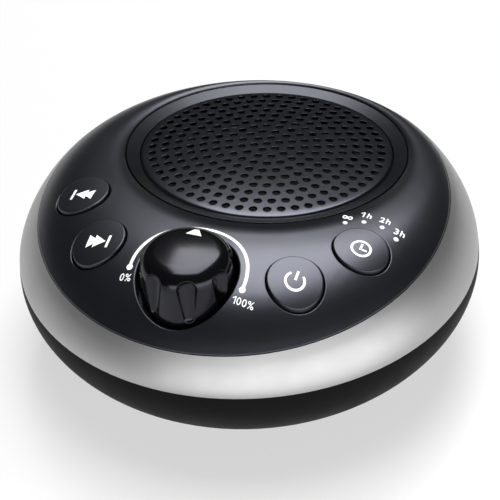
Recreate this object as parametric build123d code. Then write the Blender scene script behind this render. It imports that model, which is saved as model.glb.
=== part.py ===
"""White noise sound machine: a round pebble body with a speaker under a domed grille, a fluted
volume knob and four push buttons.

Millimetres, +Z up. The origin is under the centre of the body, on the surface it stands on.
-Y is the front, where the knob is. Heights called "rise" are measured up from the seam between
the lower shell and the band. The speaker, grille and bezel are built on the grille's own tilted
plane, where their heights are negative below the rim of the grille opening.
"""

import os
from math import atan2, cos, pi, radians, sin, sqrt

from build123d import *

# ---------------------------------------------------------------- outer body
SEAM_RADIUS = 60.0  # outside radius at the seam of lower shell and band
SEAM_HEIGHT = 27.0  # seam above the surface that the machine stands on
FOOT_PROUD = 1.2  # rubber feet below the base
EQUATOR_DROP = 2.4  # widest line below the seam
EQUATOR_SWELL = 0.2  # widest line beyond the seam radius
BELLY_DROP = 16.8  # middle of the lower curve below the seam
BELLY_INSET = 6.8
BELLY_LEAN = 51.5  # degrees that the outward normal points down there
BASE_RADIUS = 39.5  # flat underside
# Circles that the upper surface passes through below the rim of the grille opening, each by its
# front and rear points: (front inset, front rise, rear inset, rear rise)
BODY_CIRCLES = (
    (0.0, 0.0, 0.0, 0.0),
    (2.5, 7.0, 1.4, 7.0),
    (6.8, 13.0, 2.4, 9.6),
    (11.0, 16.8, 3.1, 11.2),
    (15.9, 19.65, 3.8, 12.5),
    (24.5, 22.15, 5.2, 13.75),
)
RING_RADIUS = 36.8  # rim of the grille opening
RING_RISE = 18.25
RING_SETBACK = 16.3
RING_TILT = 6.8  # degrees that the rim leans back

SHELL_WALL = 2.2
BAND_WALL = 2.0
PANEL_WALL = 3.0
LIP_WALL = 1.2  # locating lip of the lower shell inside the band
LIP_GAP = 0.1
SHELL_LIP_RISE = 2.5
PANEL_LIP_DROP = 3.0
LIP_ROOT = 2.2
PANEL_SEAM_GAP = 0.15
BAND_EDGE = ((-57.0, 9.35), (0.0, 14.4), (28.0, 14.75), (57.0, 12.3))  # (y, rise) of its top

# ---------------------------------------------------------------- grille and bezel
RING_GAP = 0.15
POCKET_DEPTH = 2.4
BEZEL_WIDTH = 3.5
BEZEL_DROP = 0.92
GRILLE_GAP = 0.1
GRILLE_DOME_RADIUS = 250.0
GRILLE_CROWN = 1.6  # top of the dome above the ring plane
GRILLE_THICKNESS = 0.9
GRILLE_EDGE_ROUND = 0.8
HOLE_RINGS = 9
HOLE_MARGIN = 3.2  # outermost ring of holes inside the bezel
HOLE_ACROSS = 2.0
HOLE_SIDES = 6
LEDGE_LIP = 1.9  # ledge inside the bezel's inner edge
LEDGE_MARGIN = 2.1  # ledge's wall outside the opening
LEDGE_THICKNESS = 1.6
LEDGE_TOP_DROP = 0.6  # the ledge's wall ends inside the skin
OPENING_ROUND = 0.4

# ---------------------------------------------------------------- knob and its well
KNOB_Y = -39.8
WELL_RADIUS = 12.5
WELL_WALL = 1.8
WELL_ROUND = 0.4
WELL_FLOOR_RISE = 12.5
WELL_FLOOR = 2.0
KNOB_GAP = 0.5  # knob above the floor of its well
KNOB_TOP_RISE = 28.3
KNOB_TOP_RADIUS = 11.3
KNOB_BASE_RADIUS = 11.6
KNOB_TOP_ROUND = 4.6
KNOB_CROWN_RADIUS = 60.0
KNOB_WALL = 3.6
KNOB_CAP = 3.0
KNOB_BOSS_RADIUS = 4.6
FLUTES = 8
FLUTE_HEAD_RADIUS = 2.9
FLUTE_DEPTH = 1.9
FLUTE_TOP_DROP = 1.0  # top of a flute below the top of the knob
FLUTE_FOOT_RADIUS = 1.8
FLUTE_FOOT_DEPTH = 0.7
FLUTE_FOOT_RISE = 1.3  # foot of a flute above the bottom of the knob

# ---------------------------------------------------------------- volume potentiometer
SHAFT_RADIUS = 3.0
SHAFT_FLAT = 1.5  # flat of the D section from the axis
SHAFT_CLEARANCE = 0.05
SHAFT_TIP_DROP = 3.4  # end of the shaft below the top of the knob
POT_SIZE = 12.0
POT_HEIGHT = 6.4
POT_FLOOR = 1.0
BUSHING_RADIUS = 3.9
BUSHING_GAP = 0.3

# ---------------------------------------------------------------- buttons and switches
POWER_AT = (25.5, -34.6)
TIMER_AT = (36.9, -18.7)
BUTTON_RADIUS = 6.75
BUTTON_GAP = 0.3
BUTTON_PROUD = 0.75
BUTTON_EDGE = 0.3
GUIDE_ROUND = 0.25
BUTTON_CAP = 1.8
BUTTON_SKIRT = 1.3
GUIDE_WALL = 1.2
GUIDE_END_RISE = 12.4
FLANGE_REACH = 1.15  # stop flange beyond the button
FLANGE_THICKNESS = 1.0
FLANGE_GAP = 0.1
STEM_RADIUS = 2.0
SWITCH_SIZE = 6.0
SWITCH_HEIGHT = 3.5
PLUNGER_RADIUS = 1.7
PLUNGER_PROUD = 0.8
PLUNGER_SUNK = 0.6
PLUNGER_GAP = 0.1
PLUNGER_WELL = 1.6

# ---------------------------------------------------------------- timer lights
LIGHTS = 4
LIGHT_MARGIN = 3.25  # middles of the lights beyond the timer button
LIGHT_STEP = 27.0  # degrees
LIGHT_RADIUS = 0.65
LIGHT_CLEARANCE = 0.03
LIGHT_PROUD = 0.1
LIGHT_BRIDGE_RISE = 13.0
LIGHT_BRIDGE_WIDTH = 1.4
LIGHT_BRIDGE_HEIGHT = 1.2
LED_HEIGHT = 0.7
LED_SIZE = (1.6, 1.0)
LED_GAP = 0.2

# ---------------------------------------------------------------- control board
BOARD_TOP_RISE = 3.0
BOARD_THICKNESS = 1.6
BOARD_RADIUS = 53.0
BOARD_SPEAKER_CLEARANCE = 34.0  # radius of the board's rear edge about the speaker
BOARD_REAR_Y = 0.5
BOARD_SCREWS_AT = ((47.0, -4.0), (13.0, -48.4))
BOARD_BOSS_RADIUS = 2.6
BOSS_CLEARANCE = 0.5
CHIP_AT = (0.0, -26.5)
CHIP_SIZE = (8.0, 8.0, 1.5)
MEMORY_AT = (-27.0, -24.0)
AMPLIFIER_AT = (27.0, -24.0)
SMALL_CHIP_SIZE = (5.0, 4.0, 1.6)
CAPACITOR_AT = ((-44.0, -11.0), (-31.0, -13.5))
CAPACITOR_RADIUS = 2.5
CAPACITOR_HEIGHT = 7.0

# ---------------------------------------------------------------- fasteners
CASE_SCREWS_AT = ((42.0, 10.0), (16.0, -24.0))
POST_TOP_DROP = 0.5  # posts and bosses meet this far below the seam
POST_RADIUS = 4.8
POST_BORE_RADIUS = 3.4
POST_WEB = 3.0
CASE_BOSS_RADIUS = 3.6
CASE_SCREW_RADIUS = 1.5
CASE_SCREW_LENGTH = 14.0
CASE_HEAD_RADIUS = 2.8
SMALL_SCREW_RADIUS = 1.0
SMALL_SCREW_LENGTH = 5.0
SMALL_HEAD_RADIUS = 2.0
HEAD_SHARE = 0.75  # head height over head radius
SCREW_CLEARANCE = 0.05
CLEAR_HOLE = 0.3
SLOT_SHARE = 0.55  # recess depth over head height

# ---------------------------------------------------------------- speaker
COLLAR_WALL = 2.1
COLLAR_DROP = 6.5
GASKET_THICKNESS = 1.0
SPEAKER_FLANGE_INSET = 0.2  # flange inside the collar's outer face
SPEAKER_FLANGE = 1.0
SPEAKER_BOLT_MARGIN = 3.1  # screws beyond the collar
EARS = 4
EAR_RADIUS = 3.4
SPEAKER_BOSS_RADIUS = 3.0
SPEAKER_BOSS_SKIN = 0.7
BASKET_WALL = 1.0
BASKET_TOP_RADIUS = 28.6
BASKET_FOOT_RADIUS = 18.0
BASKET_DEPTH = 12.5
BASKET_HUB_RADIUS = 11.0
BASKET_WINDOWS = 4
SURROUND_OUTER = 28.2
CONE_RADIUS = 24.6
SURROUND_GAP = 0.25
SURROUND_SHEET = 0.5
CONE_SHEET = 0.5
CONE_DEPTH = 6.6
COIL_RADIUS = 9.9
FORMER_WALL = 0.3
COIL_WALL = 0.35
COIL_GAP = 0.35
FORMER_LENGTH = 9.5
COIL_LENGTH = 4.5
DUST_CAP_RISE = 2.6
DUST_CAP_RADIUS = 10.6
SPIDER_OUTER = 17.0
SPIDER_DROP = 2.6  # below the small end of the cone
SPIDER_SHEET = 0.4
SPIDER_WAVES = 3
SPIDER_WAVE = 0.5
PLATE_THICKNESS = 3.0
PLATE_RADIUS = 18.0
MAGNET_RADIUS = 20.0
MAGNET_BORE = 11.6
MAGNET_THICKNESS = 8.0
YOKE_RADIUS = 18.5
YOKE_THICKNESS = 3.0
POLE_RADIUS = 9.2

# ---------------------------------------------------------------- power inlet
INLET_RISE = -12.0
INLET_FACE_Y = 54.0
INLET_POCKET = (13.0, 7.5)
INLET_PAD = (18.0, 13.0)
INLET_HOLE = (8.4, 3.6)
INLET_WALL = 1.4
SOCKET_SIZE = (7.6, 6.4, 2.8)  # metal shell: width, length, height
SOCKET_SHEET = 0.3
SOCKET_SETBACK = 0.3
TONGUE_SIZE = (3.6, 4.2, 0.7)
POWER_BOARD_SIZE = (21.0, 15.0)
POWER_BOARD_GAP = 2.0
POWER_BOARD_CORNER = 3.0
POWER_POST_RADIUS = 2.6
POWER_POSTS_X = 8.0

# ---------------------------------------------------------------- feet
FEET_CIRCLE = 33.0
FEET_ANGLES = (-30.0, 50.0, 130.0, 210.0)
FOOT_RADIUS = 5.0
FOOT_SUNK = 0.8
FOOT_GAP = 0.1

# ---------------------------------------------------------------- shared places
BEZEL_INNER_RADIUS = RING_RADIUS - BEZEL_WIDTH
HOLE_RING_RADIUS = BEZEL_INNER_RADIUS - HOLE_MARGIN
LEDGE_INNER_RADIUS = BEZEL_INNER_RADIUS - LEDGE_LIP
LEDGE_OUTER_RADIUS = RING_RADIUS + LEDGE_MARGIN
COLLAR_RADIUS = LEDGE_INNER_RADIUS + COLLAR_WALL
FLANGE_OUTER = COLLAR_RADIUS - SPEAKER_FLANGE_INSET
SPEAKER_BOLT_CIRCLE = COLLAR_RADIUS + SPEAKER_BOLT_MARGIN
LIGHT_CIRCLE = BUTTON_RADIUS + LIGHT_MARGIN
FLANGE_RADIUS = BUTTON_RADIUS + FLANGE_REACH
RING_LEAN = (0.0, sin(radians(RING_TILT)), cos(radians(RING_TILT)))
RING_PLANE = Plane(
    origin=(0, RING_SETBACK, SEAM_HEIGHT + RING_RISE), x_dir=(1, 0, 0), z_dir=RING_LEAN
)
BASE_Z = FOOT_PROUD
BOARD_TOP = SEAM_HEIGHT + BOARD_TOP_RISE
WELL_FLOOR_Z = SEAM_HEIGHT + WELL_FLOOR_RISE
KNOB_BOTTOM_Z = WELL_FLOOR_Z + KNOB_GAP
KNOB_TOP_Z = SEAM_HEIGHT + KNOB_TOP_RISE
SWITCH_TOP = BOARD_TOP + SWITCH_HEIGHT
GUIDE_END_Z = SEAM_HEIGHT + GUIDE_END_RISE
POST_TOP_Z = SEAM_HEIGHT - POST_TOP_DROP
REACH = 2 * SEAM_RADIUS
RIM_FIT = 0.02  # how near an edge lies to the cylinder that cut it
SPEAKER_TOP = -COLLAR_DROP - GASKET_THICKNESS
BASKET_FLOOR = SPEAKER_TOP - BASKET_DEPTH
CONE_TOP = SPEAKER_TOP - SPEAKER_FLANGE
CONE_FOOT = CONE_TOP - CONE_DEPTH
INLET_Z = SEAM_HEIGHT + INLET_RISE
POWER_BOARD_TOP = INLET_Z - SOCKET_SIZE[2] / 2


def mirrored(points):
    """Every point and its mirror image across the middle of the machine."""
    return [(side * x, y) for x, y in points for side in (1, -1)]


def upright(x, y, radius, bottom, top):
    """Vertical cylinder between two heights."""
    return Pos(x, y, bottom) * Cylinder(
        radius, top - bottom, align=(Align.CENTER, Align.CENTER, Align.MIN)
    )


def block(size, at):
    """Box of a given size, centred on x and y and standing on z."""
    return Pos(*at) * Box(*size, align=(Align.CENTER, Align.CENTER, Align.MIN))


def turned(points):
    """Solid of revolution of a closed outline of (radius, height) points."""
    outline = Plane.XZ * make_face(Polyline(*points, close=True))
    return revolve(outline, Axis.Z)


def on_ring(shape):
    """Moves a shape made about the Z axis onto the tilted plane of the grille."""
    return RING_PLANE.location * shape


def top_rim(shape):
    """Highest closed edge of a shape."""
    return shape.edges().filter_by(lambda edge: edge.is_closed).sort_by(Axis.Z)[-1]


def tube(outer, inner, bottom, top):
    """Plain ring about the Z axis between two heights."""
    return turned([(inner, bottom), (outer, bottom), (outer, top), (inner, top)])


# ---------------------------------------------------------------- body surfaces
def upper_profile(side):
    """Points (y, z) of the upper surface in the middle plane, up the front (-1) or rear (1)."""
    points = []
    for front_inset, front_rise, rear_inset, rear_rise in BODY_CIRCLES:
        inset, rise = (front_inset, front_rise) if side < 0 else (rear_inset, rear_rise)
        points.append((side * (SEAM_RADIUS - inset), SEAM_HEIGHT + rise))
    rim = RING_PLANE.from_local_coords((0, side * RING_RADIUS, 0))
    return [*points, (rim.Y, rim.Z)]


def inset_profile(side, inset):
    """The same points moved inwards, square to the line through their neighbours."""
    points = upper_profile(side)
    moved = []
    for index, (y, z) in enumerate(points):
        low_y, low_z = points[max(index - 1, 0)]
        high_y, high_z = points[min(index + 1, len(points) - 1)]
        slope = atan2(side * (low_y - high_y), high_z - low_z)
        moved.append((y - side * inset * cos(slope), z - inset * sin(slope)))
    return moved


def upper_body(inset):
    """Upper outside surface as a closed solid, moved inwards square to itself."""
    circles = []
    for front, rear in zip(inset_profile(-1, inset), inset_profile(1, inset)):
        span_y = rear[0] - front[0]
        span_z = rear[1] - front[1]
        centre = (0, (front[0] + rear[0]) / 2, (front[1] + rear[1]) / 2)
        plane = Plane(origin=centre, x_dir=(1, 0, 0), z_dir=(0, -span_z, span_y))
        circles.append(plane * Circle(sqrt(span_y**2 + span_z**2) / 2))
    return loft(circles)


def above_band_edge(offset):
    """Everything above the band's top edge, which is low in front and high at the sides."""
    points = [(y, SEAM_HEIGHT + rise + offset) for y, rise in BAND_EDGE]
    front, rear = points[0], points[-1]
    edge = Spline(*points)
    frame = Polyline(
        rear, (REACH, rear[1]), (REACH, REACH), (-REACH, REACH), (-REACH, front[1]), front
    )
    return extrude(Plane.YZ * make_face([edge, frame]), REACH, both=True)


def bowl(inset):
    """Lower outside surface as a closed solid, moved inwards square to itself."""
    lean = radians(BELLY_LEAN)
    seam = (SEAM_RADIUS - inset, SEAM_HEIGHT)
    equator = (SEAM_RADIUS + EQUATOR_SWELL - inset, SEAM_HEIGHT - EQUATOR_DROP)
    belly = (
        SEAM_RADIUS - BELLY_INSET - inset * cos(lean),
        SEAM_HEIGHT - BELLY_DROP + inset * sin(lean),
    )
    base = (BASE_RADIUS - inset / 2, BASE_Z + inset)
    side = Spline(seam, equator, belly, base)
    floor = Polyline(base, (0, base[1]), (0, seam[1]), seam)
    return revolve(Plane.XZ * make_face([side, floor]), Axis.Z)


# ---------------------------------------------------------------- lower shell
def lower_shell():
    """Bottom case with screw posts, a rear inlet pocket and seats for the feet."""
    inside = bowl(SHELL_WALL)
    shell = bowl(0) - inside
    rim_outer = SEAM_RADIUS - BAND_WALL - LIP_GAP
    rim_inner = rim_outer - LIP_WALL
    shell += tube(rim_outer, rim_inner, SEAM_HEIGHT - LIP_ROOT, SEAM_HEIGHT)
    lip = upper_body(BAND_WALL + LIP_GAP) - upper_body(BAND_WALL + LIP_GAP + LIP_WALL)
    shell += lip & upright(0, 0, REACH, SEAM_HEIGHT, SEAM_HEIGHT + SHELL_LIP_RISE)
    for x, y in mirrored(CASE_SCREWS_AT):
        shell += upright(x, y, POST_RADIUS, BASE_Z, POST_TOP_Z) & bowl(0)
    for side in (-1, 1):
        post = upright(
            side * POWER_POSTS_X,
            power_board_y(),
            POWER_POST_RADIUS,
            BASE_Z,
            POWER_BOARD_TOP - BOARD_THICKNESS,
        )
        shell += post & bowl(SHELL_WALL / 2)
    pad = Pos(0, INLET_FACE_Y - INLET_WALL, INLET_Z) * Box(
        INLET_PAD[0], REACH, INLET_PAD[1], align=(Align.CENTER, Align.MIN, Align.CENTER)
    )
    shell += pad & bowl(0)
    pocket = Pos(0, INLET_FACE_Y, INLET_Z) * Box(
        INLET_POCKET[0], REACH, INLET_POCKET[1], align=(Align.CENTER, Align.MIN, Align.CENTER)
    )
    shell -= fillet(pocket.edges().filter_by(Axis.Y), INLET_POCKET[1] / 3)
    hole = Pos(0, INLET_FACE_Y, INLET_Z) * Box(INLET_HOLE[0], 4 * INLET_WALL, INLET_HOLE[1])
    shell -= fillet(hole.edges().filter_by(Axis.Y), INLET_HOLE[1] / 3)
    for x, y in mirrored(CASE_SCREWS_AT):
        shell -= upright(x, y, POST_BORE_RADIUS, 0, POST_TOP_Z - POST_WEB)
        shell -= upright(x, y, CASE_SCREW_RADIUS + CLEAR_HOLE, 0, POST_TOP_Z)
    for side in (-1, 1):
        shell -= small_pilot(side * POWER_POSTS_X, power_board_y(), POWER_BOARD_TOP, -1)
    for x, y in feet_places():
        shell -= upright(x, y, FOOT_RADIUS + FOOT_GAP, 0, BASE_Z + FOOT_SUNK)
    return shell


def feet_places():
    """Centres of the four feet."""
    return [
        (FEET_CIRCLE * cos(radians(angle)), FEET_CIRCLE * sin(radians(angle)))
        for angle in FEET_ANGLES
    ]


def rubber_feet():
    """Four round feet sunk into the base."""
    feet = []
    for x, y in feet_places():
        foot = upright(x, y, FOOT_RADIUS, 0, BASE_Z + FOOT_SUNK)
        feet.append(chamfer(foot.edges().group_by(Axis.Z)[0], FOOT_PROUD / 3))
    return Compound(children=feet)


# ---------------------------------------------------------------- band and top panel
def silver_band():
    """Metallised band between the lower shell and the top panel."""
    wall = upper_body(0) - upper_body(BAND_WALL) - above_band_edge(0)
    return wall - on_ring(upright(0, 0, LEDGE_OUTER_RADIUS + LIP_GAP, -RING_RISE, RING_RISE))


def button_places():
    """Name and centre of each button."""
    power, timer = POWER_AT, TIMER_AT
    return {
        "power_button": power,
        "timer_button": timer,
        "next_button": (-power[0], power[1]),
        "previous_button": (-timer[0], timer[1]),
    }


def light_places():
    """Centres of the timer lights, on an arc behind the timer button."""
    middle = (LIGHTS - 1) / 2
    angles = [radians(90 + LIGHT_STEP * (middle - index)) for index in range(LIGHTS)]
    x, y = TIMER_AT
    return [(x + LIGHT_CIRCLE * cos(angle), y + LIGHT_CIRCLE * sin(angle)) for angle in angles]


def ear_places():
    """Centres of the speaker screws on the grille's plane."""
    angles = [radians(360 / EARS * (index + 0.5)) for index in range(EARS)]
    return [(SPEAKER_BOLT_CIRCLE * cos(angle), SPEAKER_BOLT_CIRCLE * sin(angle)) for angle in angles]


def rims(shape, plane, radius):
    """Edges of a shape that lie on a cylinder about a plane's axis, near the outside surface."""
    found = []
    for edge in shape.edges():
        points = [plane.to_local_coords(edge @ place) for place in (0.0, 0.3, 0.6, 1.0)]
        near = [abs(sqrt(point.X**2 + point.Y**2) - radius) < RIM_FIT for point in points]
        high = [point.Z > -PANEL_WALL / 2 for point in points]
        if all(near) and all(high):
            found.append(edge)
    return found


def rounded_openings(panel):
    """Breaks the sharp edges of the grille opening, the knob well and the button holes."""
    panel = fillet(rims(panel, RING_PLANE, RING_RADIUS + RING_GAP), OPENING_ROUND)
    for x, y, radius, rise, round_radius in [
        (0, KNOB_Y, WELL_RADIUS, WELL_FLOOR_RISE + PANEL_WALL, WELL_ROUND),
        *[
            (x, y, BUTTON_RADIUS + BUTTON_GAP, GUIDE_END_RISE + PANEL_WALL, GUIDE_ROUND)
            for x, y in button_places().values()
        ],
    ]:
        hole = Plane(origin=(x, y, SEAM_HEIGHT + rise))
        panel = fillet(rims(panel, hole, radius), round_radius)
    return panel


def panel_bosses():
    """Everything that hangs from the underside of the top panel."""
    ceiling = SEAM_HEIGHT + KNOB_TOP_RISE
    room = upper_body((BAND_WALL + LIP_GAP + PANEL_WALL) / 2)
    bosses = [on_ring(tube(COLLAR_RADIUS, LEDGE_INNER_RADIUS, -COLLAR_DROP, -POCKET_DEPTH))]
    for x, y in ear_places():
        bosses.append(on_ring(upright(x, y, SPEAKER_BOSS_RADIUS, SPEAKER_TOP, -POCKET_DEPTH)))
    well_bottom = WELL_FLOOR_Z - WELL_FLOOR
    bosses.append(upright(0, KNOB_Y, WELL_RADIUS + WELL_WALL, well_bottom, ceiling))
    for x, y in button_places().values():
        guide_radius = BUTTON_RADIUS + BUTTON_GAP + GUIDE_WALL
        bosses.append(upright(x, y, guide_radius, GUIDE_END_Z, ceiling))
    for x, y in mirrored(CASE_SCREWS_AT):
        bosses.append(upright(x, y, CASE_BOSS_RADIUS, POST_TOP_Z, ceiling))
    for x, y in mirrored(BOARD_SCREWS_AT):
        bosses.append(upright(x, y, BOARD_BOSS_RADIUS, BOARD_TOP, ceiling))
    return [boss & room for boss in bosses]


def small_pilot(x, y, seat, up):
    """Pilot hole of a small screw whose head clamps a board, above (1) or below (-1) its seat."""
    reach = up * (SMALL_SCREW_LENGTH + SCREW_CLEARANCE)
    low, high = sorted((seat - up * BOARD_THICKNESS, seat + reach))
    return upright(x, y, SMALL_SCREW_RADIUS + SCREW_CLEARANCE, low, high)


def top_panel():
    """Black top with the grille seat, knob well, button guides and screw bosses."""
    outside = upper_body(0)
    panel = outside & above_band_edge(PANEL_SEAM_GAP)
    panel += upper_body(BAND_WALL + LIP_GAP) & above_band_edge(-PANEL_LIP_DROP)
    panel -= upper_body(PANEL_WALL)
    ledge_bottom = -POCKET_DEPTH - LEDGE_THICKNESS
    panel += on_ring(tube(LEDGE_OUTER_RADIUS, LEDGE_INNER_RADIUS, ledge_bottom, -LEDGE_TOP_DROP))
    for boss in panel_bosses():
        panel += boss
    panel -= on_ring(upright(0, 0, RING_RADIUS + RING_GAP, -POCKET_DEPTH, POCKET_DEPTH))
    panel -= on_ring(upright(0, 0, LEDGE_INNER_RADIUS, -2 * COLLAR_DROP, POCKET_DEPTH))
    panel -= upright(0, KNOB_Y, WELL_RADIUS, WELL_FLOOR_Z, REACH)
    panel -= upright(0, KNOB_Y, BUSHING_RADIUS + BUSHING_GAP, BOARD_TOP, REACH)
    for x, y in button_places().values():
        panel -= upright(x, y, BUTTON_RADIUS + BUTTON_GAP, BOARD_TOP, REACH)
        panel -= upright(x, y, FLANGE_RADIUS + BUTTON_GAP, BOARD_TOP, GUIDE_END_Z)
    for x, y in light_places():
        panel -= upright(x, y, LIGHT_RADIUS, BOARD_TOP, REACH)
    for x, y in mirrored(CASE_SCREWS_AT):
        top = POST_TOP_Z - POST_WEB + CASE_SCREW_LENGTH + SCREW_CLEARANCE
        panel -= upright(x, y, CASE_SCREW_RADIUS + SCREW_CLEARANCE, POST_TOP_Z, top)
    for x, y in mirrored(BOARD_SCREWS_AT):
        panel -= small_pilot(x, y, BOARD_TOP - BOARD_THICKNESS, 1)
    for x, y in ear_places():
        hole = upright(
            x, y, SMALL_SCREW_RADIUS + SCREW_CLEARANCE, SPEAKER_TOP, -POCKET_DEPTH - SPEAKER_BOSS_SKIN
        )
        panel -= on_ring(hole)
    return rounded_openings(panel)


# ---------------------------------------------------------------- bezel and grille
def grille_bezel():
    """Conical ring that drops from the rim of the opening to the grille."""
    ring = turned(
        [
            (BEZEL_INNER_RADIUS, -POCKET_DEPTH),
            (RING_RADIUS, -POCKET_DEPTH),
            (RING_RADIUS, 0),
            (BEZEL_INNER_RADIUS, -BEZEL_DROP),
        ]
    )
    return on_ring(ring)


def grille_dome(radius, crown):
    """Closed drum under the grille's dome, as wide as `radius`."""
    centre = GRILLE_CROWN - GRILLE_DOME_RADIUS
    dome = crown - centre
    rim = (radius, centre + sqrt(dome**2 - radius**2))
    half = (radius / 2, centre + sqrt(dome**2 - radius**2 / 4))
    top = ThreePointArc(rim, half, (0, crown))
    sides = Polyline((0, crown), (0, -POCKET_DEPTH), (radius, -POCKET_DEPTH), rim)
    return revolve(Plane.XZ * make_face([top, sides]), Axis.Z)


def hole_centres():
    """Concentric rings of holes, six more in each ring than in the last."""
    centres = [(0.0, 0.0)]
    pitch = HOLE_RING_RADIUS / HOLE_RINGS
    for ring in range(1, HOLE_RINGS + 1):
        for index in range(6 * ring):
            angle = pi / 2 + 2 * pi * index / (6 * ring)
            centres.append((pitch * ring * cos(angle), pitch * ring * sin(angle)))
    return centres


def grille_plate():
    """Pressed steel grille: a shallow dome with a turned-down rim, perforated in rings."""
    radius = BEZEL_INNER_RADIUS - GRILLE_GAP
    outside = grille_dome(radius, GRILLE_CROWN)
    outside = fillet(top_rim(outside), GRILLE_EDGE_ROUND)
    plate = outside - grille_dome(radius - GRILLE_THICKNESS, GRILLE_CROWN - GRILLE_THICKNESS)
    hole = RegularPolygon(HOLE_ACROSS / 2, HOLE_SIDES, major_radius=True)
    holes = Sketch(children=[Pos(x, y) * hole for x, y in hole_centres()])
    punches = extrude(Pos(0, 0, -POCKET_DEPTH) * holes, 2 * POCKET_DEPTH)
    return on_ring(plate - punches)


# ---------------------------------------------------------------- knob
def d_section(radius, flat):
    """Round section with one flat, facing the front."""
    return Circle(radius) - Pos(0, -flat - radius) * Rectangle(2 * radius, 2 * radius)


def flute_cutter(height):
    """Teardrop that scoops one flute out of the side of the knob, leaning with its wall."""
    head_z = height - FLUTE_TOP_DROP - FLUTE_HEAD_RADIUS
    foot_z = FLUTE_FOOT_RISE + FLUTE_FOOT_RADIUS
    wall_head = KNOB_BASE_RADIUS - (KNOB_BASE_RADIUS - KNOB_TOP_RADIUS) * head_z / height
    wall_foot = KNOB_BASE_RADIUS - (KNOB_BASE_RADIUS - KNOB_TOP_RADIUS) * foot_z / height
    head_x = wall_head - FLUTE_DEPTH + FLUTE_HEAD_RADIUS
    foot_x = wall_foot - FLUTE_FOOT_DEPTH + FLUTE_FOOT_RADIUS
    length = sqrt((head_x - foot_x) ** 2 + (head_z - foot_z) ** 2)
    cone = Cone(
        FLUTE_FOOT_RADIUS,
        FLUTE_HEAD_RADIUS,
        length,
        align=(Align.CENTER, Align.CENTER, Align.MIN),
    )
    drop = Sphere(FLUTE_FOOT_RADIUS) + cone + Pos(0, 0, length) * Sphere(FLUTE_HEAD_RADIUS)
    axis = Plane(
        origin=(foot_x, 0, foot_z), x_dir=(0, 1, 0), z_dir=(head_x - foot_x, 0, head_z - foot_z)
    )
    return axis.location * drop


def volume_knob():
    """Fluted hollow knob with a D bore, pushed onto the shaft."""
    height = KNOB_TOP_Z - KNOB_BOTTOM_Z
    body = Cone(
        KNOB_BASE_RADIUS, KNOB_TOP_RADIUS, height, align=(Align.CENTER, Align.CENTER, Align.MIN)
    )
    body &= Pos(0, 0, height - KNOB_CROWN_RADIUS) * Sphere(KNOB_CROWN_RADIUS)
    body = fillet(top_rim(body), KNOB_TOP_ROUND)
    cutter = flute_cutter(height)
    for index in range(FLUTES):
        body -= Rot(0, 0, 360 / FLUTES * (index + 0.5)) * cutter
    hollow = tube(KNOB_TOP_RADIUS - KNOB_WALL, KNOB_BOSS_RADIUS, 0, height - KNOB_CAP)
    body -= hollow
    bore_top = height - SHAFT_TIP_DROP + SHAFT_CLEARANCE
    bore = d_section(SHAFT_RADIUS + SHAFT_CLEARANCE, SHAFT_FLAT + SHAFT_CLEARANCE)
    body -= extrude(bore, bore_top)
    return Pos(0, KNOB_Y, KNOB_BOTTOM_Z) * body


def pot_shaft():
    """D shaft of the potentiometer."""
    bottom = BOARD_TOP + POT_FLOOR
    shaft = upright(0, KNOB_Y, SHAFT_RADIUS, bottom, KNOB_BOTTOM_Z)
    flat = extrude(d_section(SHAFT_RADIUS, SHAFT_FLAT), KNOB_TOP_Z - SHAFT_TIP_DROP - KNOB_BOTTOM_Z)
    return shaft + Pos(0, KNOB_Y, KNOB_BOTTOM_Z) * flat


def volume_pot():
    """Potentiometer housing with its bushing, on the control board."""
    housing = block((POT_SIZE, POT_SIZE, POT_HEIGHT), (0, KNOB_Y, BOARD_TOP))
    housing = chamfer(housing.edges().filter_by(Axis.Z), 1.0)
    housing += upright(0, KNOB_Y, BUSHING_RADIUS, BOARD_TOP, WELL_FLOOR_Z)
    bore = SHAFT_RADIUS + SHAFT_CLEARANCE
    return housing - upright(0, KNOB_Y, bore, BOARD_TOP + POT_FLOOR, REACH)


# ---------------------------------------------------------------- buttons
def button_cap(x, y):
    """Push button: a domed cap that follows the panel, a skirt with a stop flange and a stem."""
    raised = Pos(0, 0, BUTTON_PROUD) * upper_body(0)
    flange_top = GUIDE_END_Z - FLANGE_GAP
    flange_bottom = flange_top - FLANGE_THICKNESS
    cap = upright(x, y, BUTTON_RADIUS, flange_bottom, REACH) & raised
    cap = fillet(top_rim(cap), BUTTON_EDGE)
    cap += upright(x, y, FLANGE_RADIUS, flange_bottom, flange_top)
    hollow = upright(x, y, BUTTON_RADIUS - BUTTON_SKIRT, flange_bottom, REACH)
    cap -= hollow & (Pos(0, 0, BUTTON_PROUD - BUTTON_CAP) * upper_body(0))
    stem = upright(x, y, STEM_RADIUS, SWITCH_TOP + PLUNGER_PROUD, REACH)
    return cap + (stem & (Pos(0, 0, BUTTON_PROUD - BUTTON_CAP / 2) * upper_body(0)))


def switch_plunger(x, y):
    """Moving button of one tactile switch."""
    return upright(x, y, PLUNGER_RADIUS, SWITCH_TOP - PLUNGER_SUNK, SWITCH_TOP + PLUNGER_PROUD)


def tact_switches():
    """Housings of the four tactile switches."""
    switches = []
    for x, y in button_places().values():
        body = block((SWITCH_SIZE, SWITCH_SIZE, SWITCH_HEIGHT), (x, y, BOARD_TOP))
        well = upright(x, y, PLUNGER_RADIUS + PLUNGER_GAP, SWITCH_TOP - PLUNGER_WELL, REACH)
        switches.append(body - well)
    return Compound(children=switches)


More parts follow.
